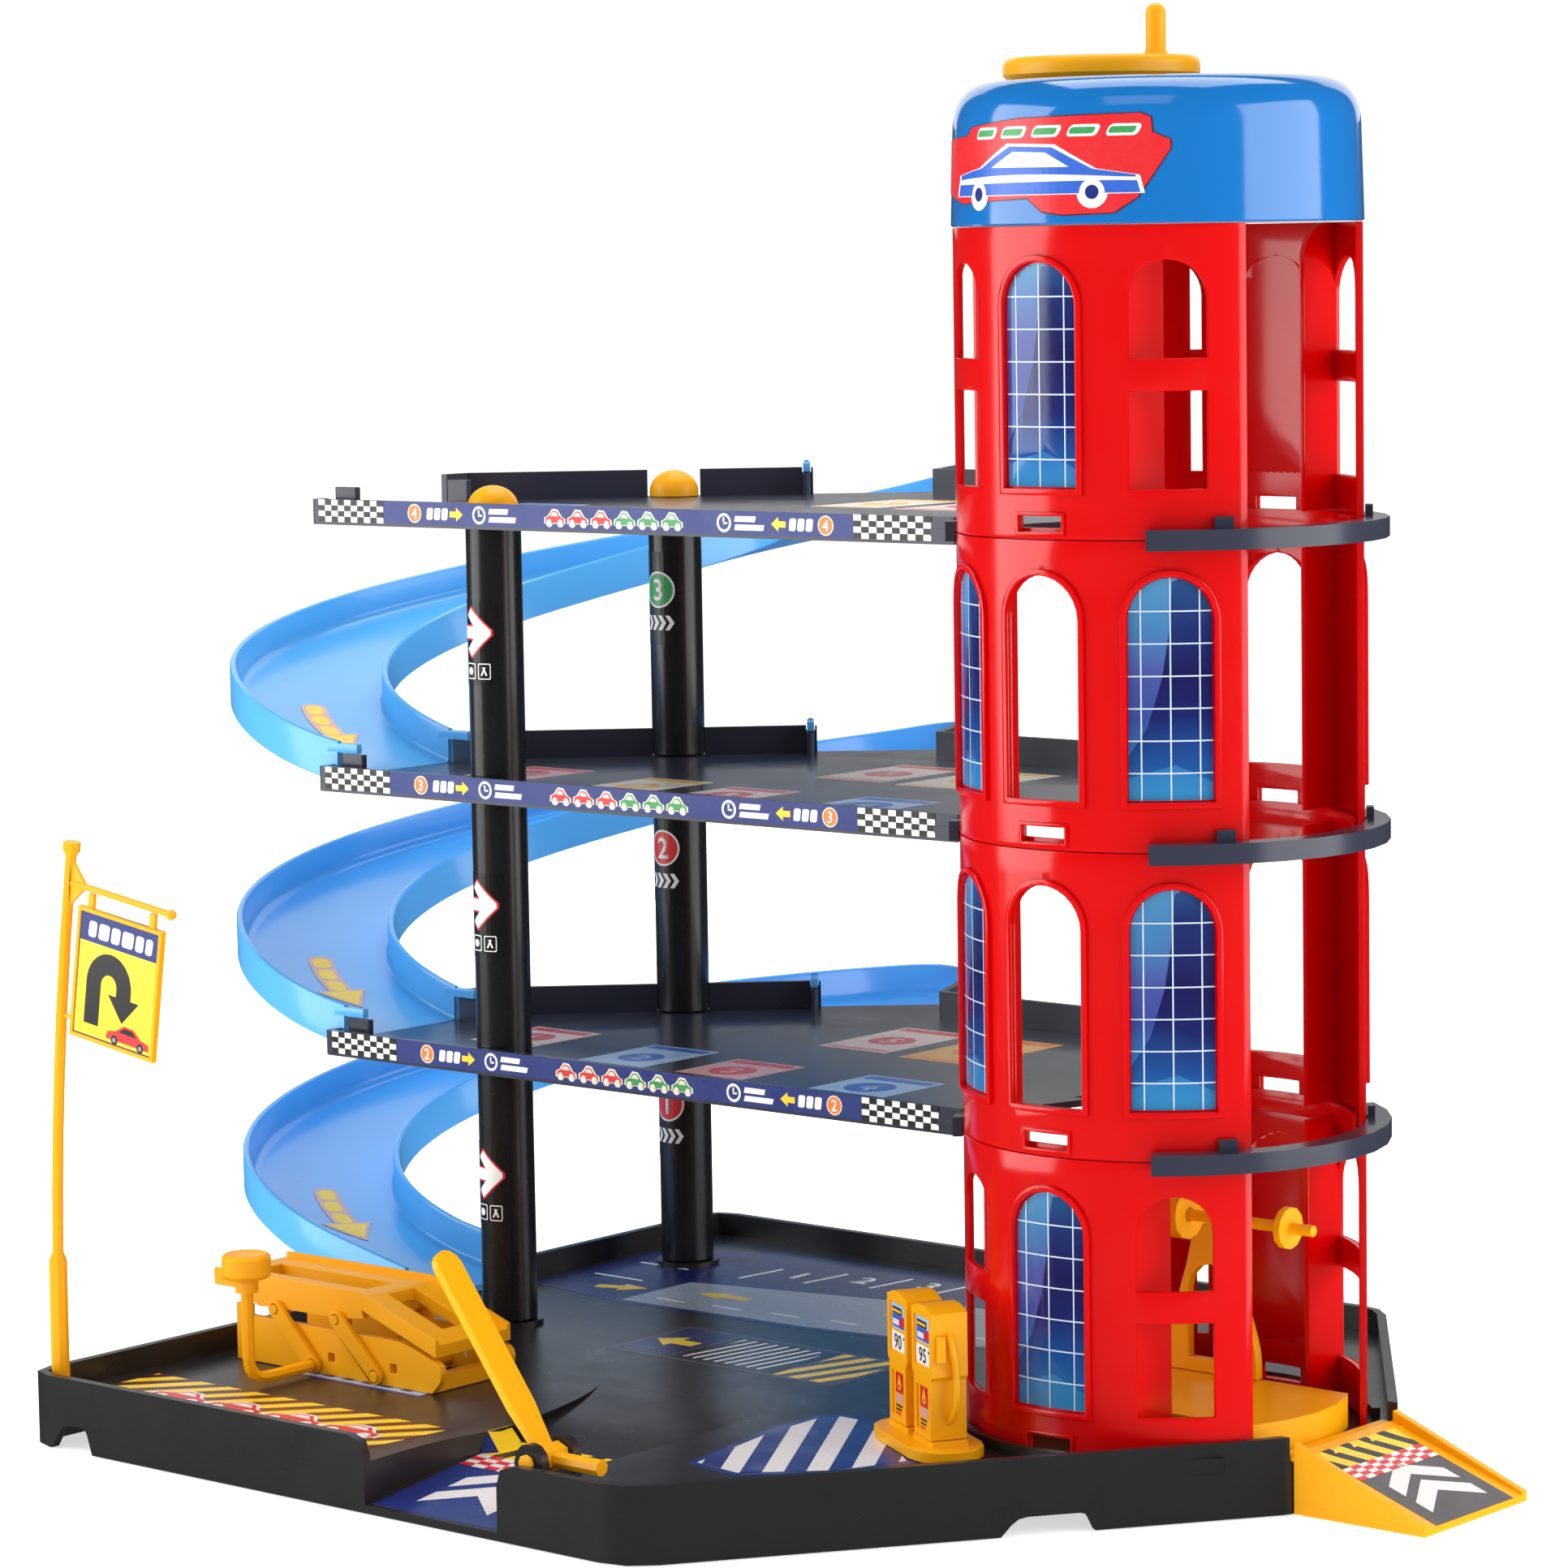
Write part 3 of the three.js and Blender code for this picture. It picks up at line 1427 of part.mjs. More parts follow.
function makePump(hoseSide) {
  const half = pumpWidth / 2;
  const waist = pumpHeight * (1 - pumpHeadShare);
  const side = new THREE.Shape();
  side.moveTo(-half + pumpWaist, 0);
  side.lineTo(half - pumpWaist, 0);
  side.lineTo(half - pumpWaist, waist - pumpWaist);
  side.lineTo(half, waist);
  side.lineTo(half, pumpHeight - pumpCrown);
  side.quadraticCurveTo(0, pumpHeight + pumpCrown, -half, pumpHeight - pumpCrown);
  side.lineTo(-half, waist);
  side.lineTo(-half + pumpWaist, waist - pumpWaist);
  side.closePath();
  const body = slabAlongY(side, -pumpDepth / 2, pumpDepth / 2, archSteps);
  const faces = [-1, 1].flatMap((face) => {
    const y = (face * pumpDepth) / 2;
    const near = Math.min(y, y - face * pumpPanelDepth) - (face < 0 ? overrun : 0);
    const far = Math.max(y, y - face * pumpPanelDepth) + (face > 0 ? overrun : 0);
    return [
      block(
        -half + pumpPanelInset,
        half - pumpPanelInset,
        near,
        far,
        waist + pumpPanelInset,
        pumpHeight - pumpCrown - pumpPanelInset,
      ),
      block(
        -half + pumpWaist + pumpPanelInset,
        half - pumpWaist - pumpPanelInset,
        near,
        far,
        pumpPanelInset,
        waist - 2 * pumpPanelInset,
      ),
    ];
  });
  const socket = rod(pumpPegRadius + slip, at(0, 0, -overrun), at(0, 0, spigotGrip / 2 + slip), roundSteps / 2);
  const x = hoseSide * (half + hoseStandOff);
  const hose = new THREE.CatmullRomCurve3([
    at(hoseSide * (half - overrun), 0, pumpHeight * hoseShares[0]),
    at(x, 0, pumpHeight * hoseShares[1]),
    at(x, pumpDepth / 8, pumpHeight * hoseShares[2]),
    at(x, pumpDepth / 12, pumpHeight * hoseShares[3]),
    at(hoseSide * (half - pumpWaist - overrun), 0, pumpHeight * hoseShares[4]),
  ]);
  const nozzle = rod(
    nozzleRadius,
    at(hoseSide * (half + nozzleRadius / 2), -pumpDepth / 4, pumpHeight * nozzleShare),
    at(hoseSide * (half + nozzleRadius / 2), -pumpDepth / 4, pumpHeight * nozzleShare + nozzleLength),
  );
  return join(cut(body, faces, socket), bentRod(hoseRadius, hose, smallSteps), nozzle);
}

// Service lift: a parallelogram of four links that carries a table
const linkX = linkLength * Math.cos(linkAngle * degree);
const linkZ = linkLength * Math.sin(linkAngle * degree);
const lowerPivots = [pivotX, pivotX + pivotPitch];
const linkInner = serviceHalf + gap;
const linkOuter = linkInner + linkThickness;
const pinReach = linkOuter + gap;

function pinAcross(radius, x, z, reach = serviceHalf + overrun) {
  return rod(radius, at(x, -reach, z), at(x, reach, z));
}

function makeServiceFrame() {
  const foot = trayFloor + gap;
  const rail = outline([
    { x: railStart, y: foot },
    { x: railEnd - railFoot, y: foot },
    { x: railEnd, y: foot + railFoot, fillet: railFoot / 2 },
    { x: railEnd, y: railNose, fillet: railFoot / 2 },
    { x: railShoulder, y: railTop, fillet: railFoot },
    { x: railStart + legWidth, y: railTop },
    { x: railStart + legWidth, y: legTop },
    { x: railStart, y: legTop },
  ]);
  const rails = [1, -1].map((side) => {
    const y = side * (serviceHalf - railThickness / 2);
    return slabAlongY(rail, y - railThickness / 2, y + railThickness / 2);
  });
  const cross = [
    block(railStart, railStart + 2 * railFoot, -serviceHalf, serviceHalf, foot, foot + railFoot / 2),
    block(railEnd - 2 * railFoot, railEnd - railFoot, -serviceHalf, serviceHalf, foot, railNose - railFoot),
  ];
  const bores = lowerPivots.map((x) => pinAcross(crankRodRadius + slip, x, pivotHeight));
  const ports = lowerPivots.map((x) => {
    const left = x + portOffset - portSize / 2;
    const low = pivotHeight + portSize / 2;
    return block(left, left + portSize, -serviceHalf - overrun, serviceHalf + overrun, low, low + portSize);
  });
  return cut(join(rails, cross), bores, ports);
}

function makeServiceTable() {
  const under = tableTop - tableThickness;
  const lowUnder = tableLow - tableThickness;
  const profile = (bottomFlat, bottomEnd, rise) => {
    const shape = new THREE.Shape();
    shape.moveTo(tableStart, bottomFlat);
    shape.lineTo(tableFlatEnd, bottomFlat);
    shape.quadraticCurveTo((tableFlatEnd + tableEnd) / 2, (bottomFlat + bottomEnd) / 2, tableEnd, bottomEnd);
    shape.lineTo(tableEnd, tableLow + rise);
    shape.lineTo(tableFlatEnd, tableTop + rise);
    shape.lineTo(tableStart, tableTop + rise);
    shape.closePath();
    return shape;
  };
  const deck = slabAlongY(profile(under, lowUnder, 0), -serviceHalf, serviceHalf);
  const kerbs = [1, -1].map((side) => {
    const y = side * (serviceHalf - tableKerb / 2);
    return slabAlongY(profile(under, lowUnder, tableKerbRise), y - tableKerb / 2, y + tableKerb / 2);
  });
  const inner = serviceHalf - trackWidth;
  const openings = [
    block(tableStart + tableCheek, tableFlatEnd - tableCheek, -inner, inner, trayFloor, tableTop + overrun),
    block(tableFlatEnd + tableKerb, tableEnd - tableCheek, -inner, inner, trayFloor, tableTop + overrun),
  ];
  const cheek = new THREE.Shape();
  cheek.moveTo(tableStart + tableCheek, under + overrun);
  cheek.quadraticCurveTo(pivotX + linkX - tableCheek, under - tableCheek, pivotX + linkX, pivotHeight + linkZ);
  cheek.lineTo(pivotX + pivotPitch + linkX, pivotHeight + linkZ);
  cheek.quadraticCurveTo(pivotX + pivotPitch, under - tableCheek / 2, tableFlatEnd, under + overrun);
  cheek.closePath();
  const cheeks = [1, -1].map((side) => {
    const y = side * (serviceHalf - railThickness / 2);
    const bosses = lowerPivots.map((x) =>
      rod(
        pivotBoss,
        at(x + linkX, y - railThickness / 2, pivotHeight + linkZ),
        at(x + linkX, y + railThickness / 2, pivotHeight + linkZ),
        roundSteps / 2,
      ),
    );
    const pins = lowerPivots.map((x) =>
      rod(
        pivotRadius,
        at(x + linkX, y, pivotHeight + linkZ),
        at(x + linkX, side * pinReach, pivotHeight + linkZ),
      ),
    );
    return join(slabAlongY(cheek, y - railThickness / 2, y + railThickness / 2), bosses, pins);
  });
  return join(cut(deck, openings), kerbs, cheeks);
}

// A link drawn from its lower pivot at the origin
function makeLink(side) {
  const y = side * (linkInner + linkThickness / 2);
  const half = linkThickness / 2;
  const body = slabAlongY(bar(at(0, 0), at(linkX, linkZ), linkWidth), y - half, y + half, archSteps);
  const lower = rod(crankRodRadius + slip, at(0, y - linkThickness, 0), at(0, y + linkThickness, 0));
  const upper = rod(pivotRadius + slip, at(linkX, y - linkThickness, linkZ), at(linkX, y + linkThickness, linkZ));
  return cut(body, lower, upper);
}

function makeAxle() {
  return rod(crankRodRadius, at(0, -pinReach, 0), at(0, pinReach, 0));
}

function makeCrankRod() {
  const plane = -linkOuter - crankRodReach;
  const top = at(0, plane, crankRodRise);
  const bend = new THREE.QuadraticBezierCurve3(
    at(0, plane + crankRodBend, 0),
    at(0, plane, 0),
    at(0, plane, crankRodBend),
  );
  const axle = rod(crankRodRadius, at(0, pinReach, 0), at(0, plane + crankRodBend - overrun, 0));
  const upright = rod(crankRodRadius, at(0, plane, crankRodBend - overrun), top);
  const sleeve = rod(crankSleeveRadius, at(0, plane, crankRodRise - crankSleeve), top, roundSteps);
  return join(axle, bentRod(crankRodRadius, bend, 2 * archSteps), upright, sleeve);
}

function makeServiceKnob() {
  const bottom = crankRodRise + gap;
  const top = bottom + serviceKnobHeight;
  const edge = serviceKnobDish;
  return turned([
    [0, bottom],
    [serviceKnobRadius - edge, bottom],
    [serviceKnobRadius, bottom + edge],
    [serviceKnobRadius, top - edge],
    [serviceKnobRadius - edge, top],
    [serviceKnobRadius - 2 * edge, top - edge / 2],
    [0, top - edge],
  ]);
}

// Materials
const plastic = (color, roughness) => new THREE.MeshStandardMaterial({ color, roughness, metalness: 0 });
const red = plastic(0xdc141c, 0.3);
const blue = plastic(0x2e8be0, 0.35);
const yellow = plastic(0xf7a81b, 0.4);
const black = plastic(0x17181a, 0.35);
const slate = plastic(0x3d4252, 0.45);
const white = plastic(0xf2f2ee, 0.8);

// Assembly
const garage = new THREE.Group();

function piece(parent, name, body, material, place = at(0, 0)) {
  const mesh = body.getMesh();
  const geometry = new THREE.BufferGeometry();
  geometry.setAttribute("position", new THREE.BufferAttribute(mesh.vertProperties.slice(), 3));
  geometry.setIndex(new THREE.BufferAttribute(mesh.triVerts.slice(), 1));
  geometry.computeVertexNormals();
  const object = new THREE.Mesh(geometry, material);
  object.name = name;
  object.position.copy(place);
  parent.add(object);
  return object;
}

function groupAt(x, y, z, turn = 0) {
  const group = new THREE.Group();
  group.position.set(x, y, z);
  group.rotation.z = turn * degree;
  garage.add(group);
  return group;
}

piece(garage, "base_tray", makeTray(), black);
piece(garage, "entry_ramp", makeEntry(), yellow);

const deck = makeDeck();
const upperColumn = makeColumn(false);
const dome = makeDome();
["front", "rear"].forEach((row, i) => {
  const [x, y] = columnPlaces[i];
  piece(garage, `column_${row}_1`, makeColumn(true), black, at(x, y, levels[0]));
  piece(garage, `column_${row}_2`, upperColumn, black, at(x, y, levels[1]));
  piece(garage, `column_${row}_3`, upperColumn, black, at(x, y, levels[2]));
  piece(garage, `column_cap_${row}`, dome, yellow, at(x, y, levels[3]));
});
for (let k = 1; k < levelCount; k++) {
  const drop = k === 1 ? storey - runOutRise : storey;
  const runOut = k === 1 ? groundRunOut : 0;
  piece(garage, `deck_${k + 1}`, deck, slate, at(0, 0, levels[k]));
  piece(garage, `spiral_ramp_${k + 1}`, makeSpiral(drop, runOut), blue, at(0, 0, levels[k]));
}

const tower = groupAt(towerX, towerY, 0);
for (let k = 0; k < levelCount; k++) {
  const split = k === 0 || k === levelCount - 1;
  const lip = k < levelCount - 1;
  piece(tower, `tower_front_${k + 1}`, makeShell(-1, split, lip), red, at(0, 0, levels[k] + gap));
  piece(tower, `tower_back_${k + 1}`, makeShell(1, split, lip), red, at(0, 0, levels[k] + gap));
}
const balcony = makeBalcony();
for (let k = 1; k < levelCount; k++) {
  piece(tower, `balcony_${k + 1}`, balcony, slate, at(0, 0, levels[k] - balconyDrop));
}

const towerTop = levels.at(-1) + storey;
const crankOffset = at(crankX - towerX, 0, towerTop);
piece(tower, "tower_cap", makeCap(), blue, at(0, 0, towerTop));
piece(tower, "winch_plate", makeWinchPlate(), white, at(0, 0, towerTop));
piece(tower, "winch_drum", makeDrum(), yellow, crankOffset);
piece(tower, "crank", makeCrank(), yellow, crankOffset);
piece(tower, "string_feed", makeFeed(), white, at(0, 0, towerTop));
piece(tower, "lift_platform", makePlatform(), yellow);
piece(tower, "lift_hanger", makeHanger(), yellow);
piece(tower, "lift_spindle", makeSpindle(), yellow);
piece(tower, "lift_string", makeString(towerTop + plateBottom - gap), white);

const sign = groupAt(trayLeft + signInset, signY, 0);
piece(sign, "sign_post", makeSignPost(), yellow);
piece(sign, "sign_panel", makeSignPanel(), yellow);

const arm = piece(garage, "barrier_arm", makeBarrierArm(), yellow);
arm.position.set(barrierX, (barrierNearY + barrierFarY) / 2, barrierHeight);
arm.rotation.y = -barrierAngle * degree;
piece(garage, "barrier_pin", makeBarrierPin(), yellow, at(barrierX, 0, barrierHeight));

const island = groupAt(islandX, islandY, trayFloor + gap, islandTurn);
const pumpFoot = islandHeight + islandPlinth + gap;
piece(island, "pump_island", makeIsland(), yellow);
piece(island, "pump_left", makePump(-1), yellow, at(-pumpPitch / 2, 0, pumpFoot));
piece(island, "pump_right", makePump(1), yellow, at(pumpPitch / 2, 0, pumpFoot));

const service = groupAt(0, serviceMidY, 0);
const frontPivot = at(pivotX, 0, pivotHeight);
const rearPivot = at(pivotX + pivotPitch, 0, pivotHeight);
piece(service, "service_frame", makeServiceFrame(), yellow);
piece(service, "service_table", makeServiceTable(), yellow);
piece(service, "link_left_front", makeLink(-1), yellow, frontPivot);
piece(service, "link_left_back", makeLink(1), yellow, frontPivot);
piece(service, "link_right_front", makeLink(-1), yellow, rearPivot);
piece(service, "link_right_back", makeLink(1), yellow, rearPivot);
piece(service, "service_axle", makeAxle(), yellow, rearPivot);
piece(service, "service_rod", makeCrankRod(), yellow, frontPivot);
piece(
  service,
  "service_knob",
  makeServiceKnob(),
  yellow,
  at(pivotX, -linkOuter - crankRodReach, pivotHeight),
);

// The origin is on the ground under the middle of the whole.
const extent = new THREE.Box3().setFromObject(garage);
const middle = extent.getCenter(at(0, 0));
garage.position.set(-middle.x, -middle.y, -extent.min.z);

export default garage;
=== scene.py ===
# Looks of a toy parking garage: mouldings with rounded edges, printed stickers, soft studio light.
# Lengths below are millimetres and MM turns them into metres.
import json
import math

import bmesh
import bpy
from mathutils import Matrix, Vector
from mathutils.bvhtree import BVHTree


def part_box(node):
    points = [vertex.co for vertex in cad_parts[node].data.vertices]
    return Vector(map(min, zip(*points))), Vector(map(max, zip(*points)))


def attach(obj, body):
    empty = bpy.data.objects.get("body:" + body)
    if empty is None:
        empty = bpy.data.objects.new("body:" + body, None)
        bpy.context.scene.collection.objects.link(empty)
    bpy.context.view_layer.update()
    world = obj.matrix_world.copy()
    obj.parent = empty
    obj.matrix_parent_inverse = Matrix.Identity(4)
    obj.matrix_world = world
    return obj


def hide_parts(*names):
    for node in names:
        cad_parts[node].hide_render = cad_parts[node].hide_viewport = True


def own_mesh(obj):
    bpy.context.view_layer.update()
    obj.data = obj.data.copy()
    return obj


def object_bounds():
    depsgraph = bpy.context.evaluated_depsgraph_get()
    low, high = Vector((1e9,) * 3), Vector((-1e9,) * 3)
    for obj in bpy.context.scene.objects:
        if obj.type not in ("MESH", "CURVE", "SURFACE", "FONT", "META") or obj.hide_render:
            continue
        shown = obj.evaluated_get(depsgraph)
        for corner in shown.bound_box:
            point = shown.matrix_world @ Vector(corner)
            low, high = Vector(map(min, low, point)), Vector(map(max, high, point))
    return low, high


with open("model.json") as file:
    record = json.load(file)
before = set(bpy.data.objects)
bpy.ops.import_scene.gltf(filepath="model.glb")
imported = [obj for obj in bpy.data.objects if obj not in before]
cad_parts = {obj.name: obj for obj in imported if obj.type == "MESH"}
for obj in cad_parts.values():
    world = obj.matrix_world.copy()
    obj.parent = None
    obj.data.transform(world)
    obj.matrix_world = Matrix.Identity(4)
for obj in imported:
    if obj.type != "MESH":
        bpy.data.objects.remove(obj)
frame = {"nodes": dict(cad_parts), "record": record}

CAD_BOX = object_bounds()
MM = 0.001
DEGREE = math.radians(1)
TRAY_LEFT = 10.7
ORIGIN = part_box("base_tray")[0]  # front left corner of the tray
BEHAVIOUR = frame["record"]["behaviour"]
NODE_BODY = {node: body for body, nodes in BEHAVIOUR["bodies"].items() for node in nodes}
NODE_SLOT = {part["node"]: part["material_slot"] for part in frame["record"]["subparts"]}


def P(x, y, z=0.0):
    """A place in the part's own millimetres, in metres."""
    return Vector((ORIGIN.x + (x - TRAY_LEFT) * MM, ORIGIN.y + y * MM, z * MM))


def on_round(x, y, angle, reach, z):
    """A place at an angle in radians round an upright axis."""
    return P(x + reach * math.cos(angle), y + reach * math.sin(angle), z)


# Sizes that the looks share with the solids
TRAY_FLOOR = 18
STOREY = 106.2
LEVELS = [TRAY_FLOOR + k * STOREY for k in range(5)]
GAP = 0.3
SHEET = 2.5
TOWER_X, TOWER_Y, TOWER_R = 374, 218, 71.3
TOWER_AXIS = P(TOWER_X, TOWER_Y)
FRAME_RISE = 1.5
DOORWAY = 29
SPIRAL_X, SPIRAL_Y = -14, 347
SPIRAL_INNER, SPIRAL_OUTER = 88, 154
SPIRAL_START, SPIRAL_END = 40, 270
SPIRAL_LEAD = 47
SPIRAL_WALL, SPIRAL_WALL_RISE = 2.8, 14
SPIRAL_BANK, SPIRAL_EASING = 6, 0.2
GROUND_RUN_OUT, RUN_OUT_RISE = 30.7, 2.8
COLUMN_R, SPIGOT_R, SOCKET_R = 10.8, 6, 6.4
COLUMNS = {"front": (67.8, 200.2), "rear": (46, 330)}
DECK_FRONT = 185.6
CAP_R, CAP_HEIGHT, CAP_SHOULDER, CAP_TAPER = 71.9, 50.3, 17, 1
CRANK_X = 350.4


def shown(thing):
    """The object, put into the scene."""
    bpy.context.scene.collection.objects.link(thing)
    return thing


# Camera at the photograph's place, its angles in radians
CAMERA_X, CAMERA_Y, CAMERA_Z = 1428.54, -1217.2, 435.93
CAMERA_TURN, CAMERA_PITCH, CAMERA_ROLL = 0.70848, 0.10493, -0.01591
SENSOR = 36.0
FOCAL_PIXELS, PHOTO_PIXELS = 6242.2, 1932


def around(angle, reach, height=0.0):
    """A vector at an angle in radians from X, with its height as it is given."""
    return Vector((reach * math.cos(angle), reach * math.sin(angle), height))


forward = around(CAMERA_TURN + math.pi / 2, math.cos(CAMERA_PITCH), -math.sin(CAMERA_PITCH))
level_right = around(CAMERA_TURN, 1)
level_up = level_right.cross(forward)
right = level_right * math.cos(CAMERA_ROLL) + level_up * math.sin(CAMERA_ROLL)
camera_data = bpy.data.cameras.new("camera")
camera_data.sensor_width = SENSOR
camera_data.lens = SENSOR * FOCAL_PIXELS / PHOTO_PIXELS
camera_data.clip_end = 100
camera = shown(bpy.data.objects.new("camera", camera_data))
facing = Matrix((right, right.cross(forward), -forward)).transposed().to_4x4()
camera.matrix_world = Matrix.Translation(P(CAMERA_X, CAMERA_Y, CAMERA_Z)) @ facing
bpy.context.scene.camera = camera
bpy.context.scene.view_settings.view_transform = "Standard"

# Light: soft boxes at both sides, before, over and behind the object, in a room that is white to look at
MIDDLE = P(200, 200, 220)


def area_light(name, azimuth, height, distance, size, power):
    """A soft box at degrees from the camera's side, turned to the object, in metres and watts."""
    data = bpy.data.lights.new(name, "AREA")
    data.shape = "RECTANGLE"
    data.size, data.size_y = size
    data.energy = power
    lamp = shown(bpy.data.objects.new(name, data))
    lamp.location = MIDDLE + around(CAMERA_TURN - math.pi / 2 + math.radians(azimuth), distance, height)
    lamp.rotation_euler = (MIDDLE - lamp.location).to_track_quat("-Z", "Y").to_euler()


area_light("box_right", 70, 0.35, 2.1, (1.9, 1.7), 29)
area_light("box_left", -86, 0.5, 2.1, (1.7, 1.7), 30)
area_light("box_front", -12, 2.1, 2.0, (1.6, 1.0), 5)
area_light("box_top", 160, 2.2, 0.7, (1.8, 1.8), 30)
area_light("box_back", 172, 0.9, 2.0, (2.4, 1.2), 9)

# Strength of the room as seen, as light on the surfaces and in their reflections
ROOM_SEEN, ROOM_LIGHT, ROOM_MIRRORED = 1.1, 0.66, 0.05
world = bpy.data.worlds.new("studio")
bpy.context.scene.world = world
world.use_nodes = True
nodes, links = world.node_tree.nodes, world.node_tree.links
sky = nodes["Background"]
sky.inputs["Color"].default_value = (1, 1, 1, 1)
rays = nodes.new("ShaderNodeLightPath").outputs
seen = nodes.new("ShaderNodeMapRange")
seen.inputs["To Min"].default_value = ROOM_LIGHT
seen.inputs["To Max"].default_value = ROOM_SEEN
mirrored = nodes.new("ShaderNodeMapRange")
mirrored.inputs["To Max"].default_value = ROOM_MIRRORED
links.new(rays["Is Camera Ray"], seen.inputs["Value"])
links.new(rays["Is Glossy Ray"], mirrored.inputs["Value"])
links.new(seen.outputs["Result"], mirrored.inputs["To Min"])
links.new(mirrored.outputs["Result"], sky.inputs["Strength"])


# Materials
def linear(code):
    """A hex colour as linear red, green, blue and alpha."""
    channels = [int(code[i : i + 2], 16) / 255 for i in (0, 2, 4)]
    return tuple(c / 12.92 if c < 0.04045 else ((c + 0.055) / 1.055) ** 2.4 for c in channels) + (1.0,)


class Shader:
    """A short way to write a node tree round one Principled shader."""

    def __init__(self, name):
        self.material = bpy.data.materials.new(name)
        self.material.use_nodes = True
        self.tree = self.material.node_tree
        self.shader = self.tree.nodes["Principled BSDF"]
        self.place = self.node("ShaderNodeTexCoord").outputs["Object"]

    def node(self, kind, **settings):
        made = self.tree.nodes.new(kind)
        for key, value in settings.items():
            setattr(made, key, value)
        return made

    def fill(self, socket, value):
        """Gives a socket a number, a colour or another node's output."""
        if isinstance(value, (int, float, tuple)):
            socket.default_value = value
        else:
            self.tree.links.new(value, socket)

    def set(self, **values):
        for key, value in values.items():
            self.fill(self.shader.inputs[key.replace("_", " ")], value)

    def noise(self, scale, detail=3.0, roughness=0.55, stretch=None):
        texture = self.node("ShaderNodeTexNoise")
        for key, value in (("Scale", scale), ("Detail", detail), ("Roughness", roughness)):
            texture.inputs[key].default_value = value
        place = self.place
        if stretch:
            mapping = self.node("ShaderNodeMapping")
            mapping.inputs["Scale"].default_value = stretch
            self.fill(mapping.inputs["Vector"], place)
            place = mapping.outputs["Vector"]
        self.fill(texture.inputs["Vector"], place)
        return texture.outputs["Fac"]

    def spread(self, source, low, high, start=0.3, end=0.7):
        mapped = self.node("ShaderNodeMapRange")
        keys = ("Value", "From Min", "From Max", "To Min", "To Max")
        for key, value in zip(keys, (source, start, end, low, high)):
            self.fill(mapped.inputs[key], value)
        return mapped.outputs["Result"]

    def calculate(self, operation, *values):
        made = self.node("ShaderNodeMath", operation=operation)
        for socket, value in zip(made.inputs, values):
            self.fill(socket, value)
        return made.outputs[0]

    def mix(self, factor, a, b):
        mixed = self.node("ShaderNodeMix", data_type="RGBA")
        for i, value in ((0, factor), (6, a), (7, b)):
            self.fill(mixed.inputs[i], value)
        return mixed.outputs[2]

    def bump(self, height, distance):
        made = self.node("ShaderNodeBump")
        self.fill(made.inputs["Distance"], distance)
        self.fill(made.inputs["Height"], height)
        self.set(Normal=made.outputs["Normal"])


def plastic(name, code, roughness, spread=0.08, depth=0.93, coat=0.0, grain=1600, relief=0.02, scuffs=0, **more):
    """A moulded plastic: flow mottling, fine grain, uneven gloss and light scuffs."""
    make = Shader(name)
    colour = linear(code)
    dark = tuple(c * depth for c in colour[:3]) + (1.0,)
    gloss = make.spread(make.noise(45, 5, 0.65), roughness - spread / 2, roughness + spread / 2)
    if scuffs:
        lines = make.spread(make.noise(1, 6, 0.8, stretch=(40, 900, 200)), 0.0, scuffs, 0.62, 0.75)
        gloss = make.calculate("ADD", gloss, lines)
    make.bump(make.noise(grain, 2), relief * MM)
    make.set(Base_Color=make.mix(make.spread(make.noise(9, 4), 0.0, 1.0), dark, colour), Roughness=gloss)
    make.set(Coat_Weight=coat, Coat_Roughness=0.08, IOR=1.5, **more)
    return make.material


def ink(name, code):
    """Printed film: even colour with a trace of print noise under a clear surface."""
    make = Shader(name)
    colour = linear(code)
    pale = tuple(min(1.0, c * 1.06 + 0.004) for c in colour[:3]) + (1.0,)
    make.set(Base_Color=make.mix(make.spread(make.noise(700, 3), 0, 1), colour, pale))
    make.set(Roughness=make.spread(make.noise(60, 4), 0.23, 0.35))
    make.bump(make.noise(260, 2), 0.012 * MM)
    return make.material


GLOW = {"Subsurface_Weight": 0.2, "Subsurface_Radius": (1.0, 0.45, 0.1), "Subsurface_Scale": 3 * MM}
RED = plastic("red_plastic", "d40204", 0.15, spread=0.05, relief=0.01, scuffs=0.06)
BLUE = plastic("blue_plastic", "1470bc", 0.12, spread=0.05, depth=0.92, coat=0.6, relief=0.01, scuffs=0.06)
# The ramps are the cap's blue plastic in a lighter copy: painted light for the glow through the thin plastic and
# for the light from above.
LIT_SPIRAL_BLUE = plastic("spiral_plastic_lit", "58b2f4", 0.24, spread=0.06, coat=0.2, relief=0.01, scuffs=0.08)
YELLOW = plastic("yellow_plastic", "ffb003", 0.34, depth=0.95, relief=0.012, Specular_IOR_Level=0.3, **GLOW)
BLACK = plastic("black_plastic", "1b1c1f", 0.27, spread=0.06, depth=0.85, coat=0.1, relief=0.004, scuffs=0.1)
TRAY_BLACK = plastic("tray_plastic", "262627", 0.3, depth=0.85, relief=0.025, scuffs=0.12)
MATERIALS = {
    "red_plastic": RED,
    "blue_plastic": BLUE,
    "yellow_plastic": YELLOW,
    "black_plastic": BLACK,
    "deck_plastic": plastic("deck_plastic", "343848", 0.22, depth=0.9, relief=0.015, scuffs=0.1),
    "white_plastic": plastic("white_plastic", "e9e9e2", 0.45),
    "string": plastic("string", "eeeadf", 0.85, grain=5000, relief=0.15),
}
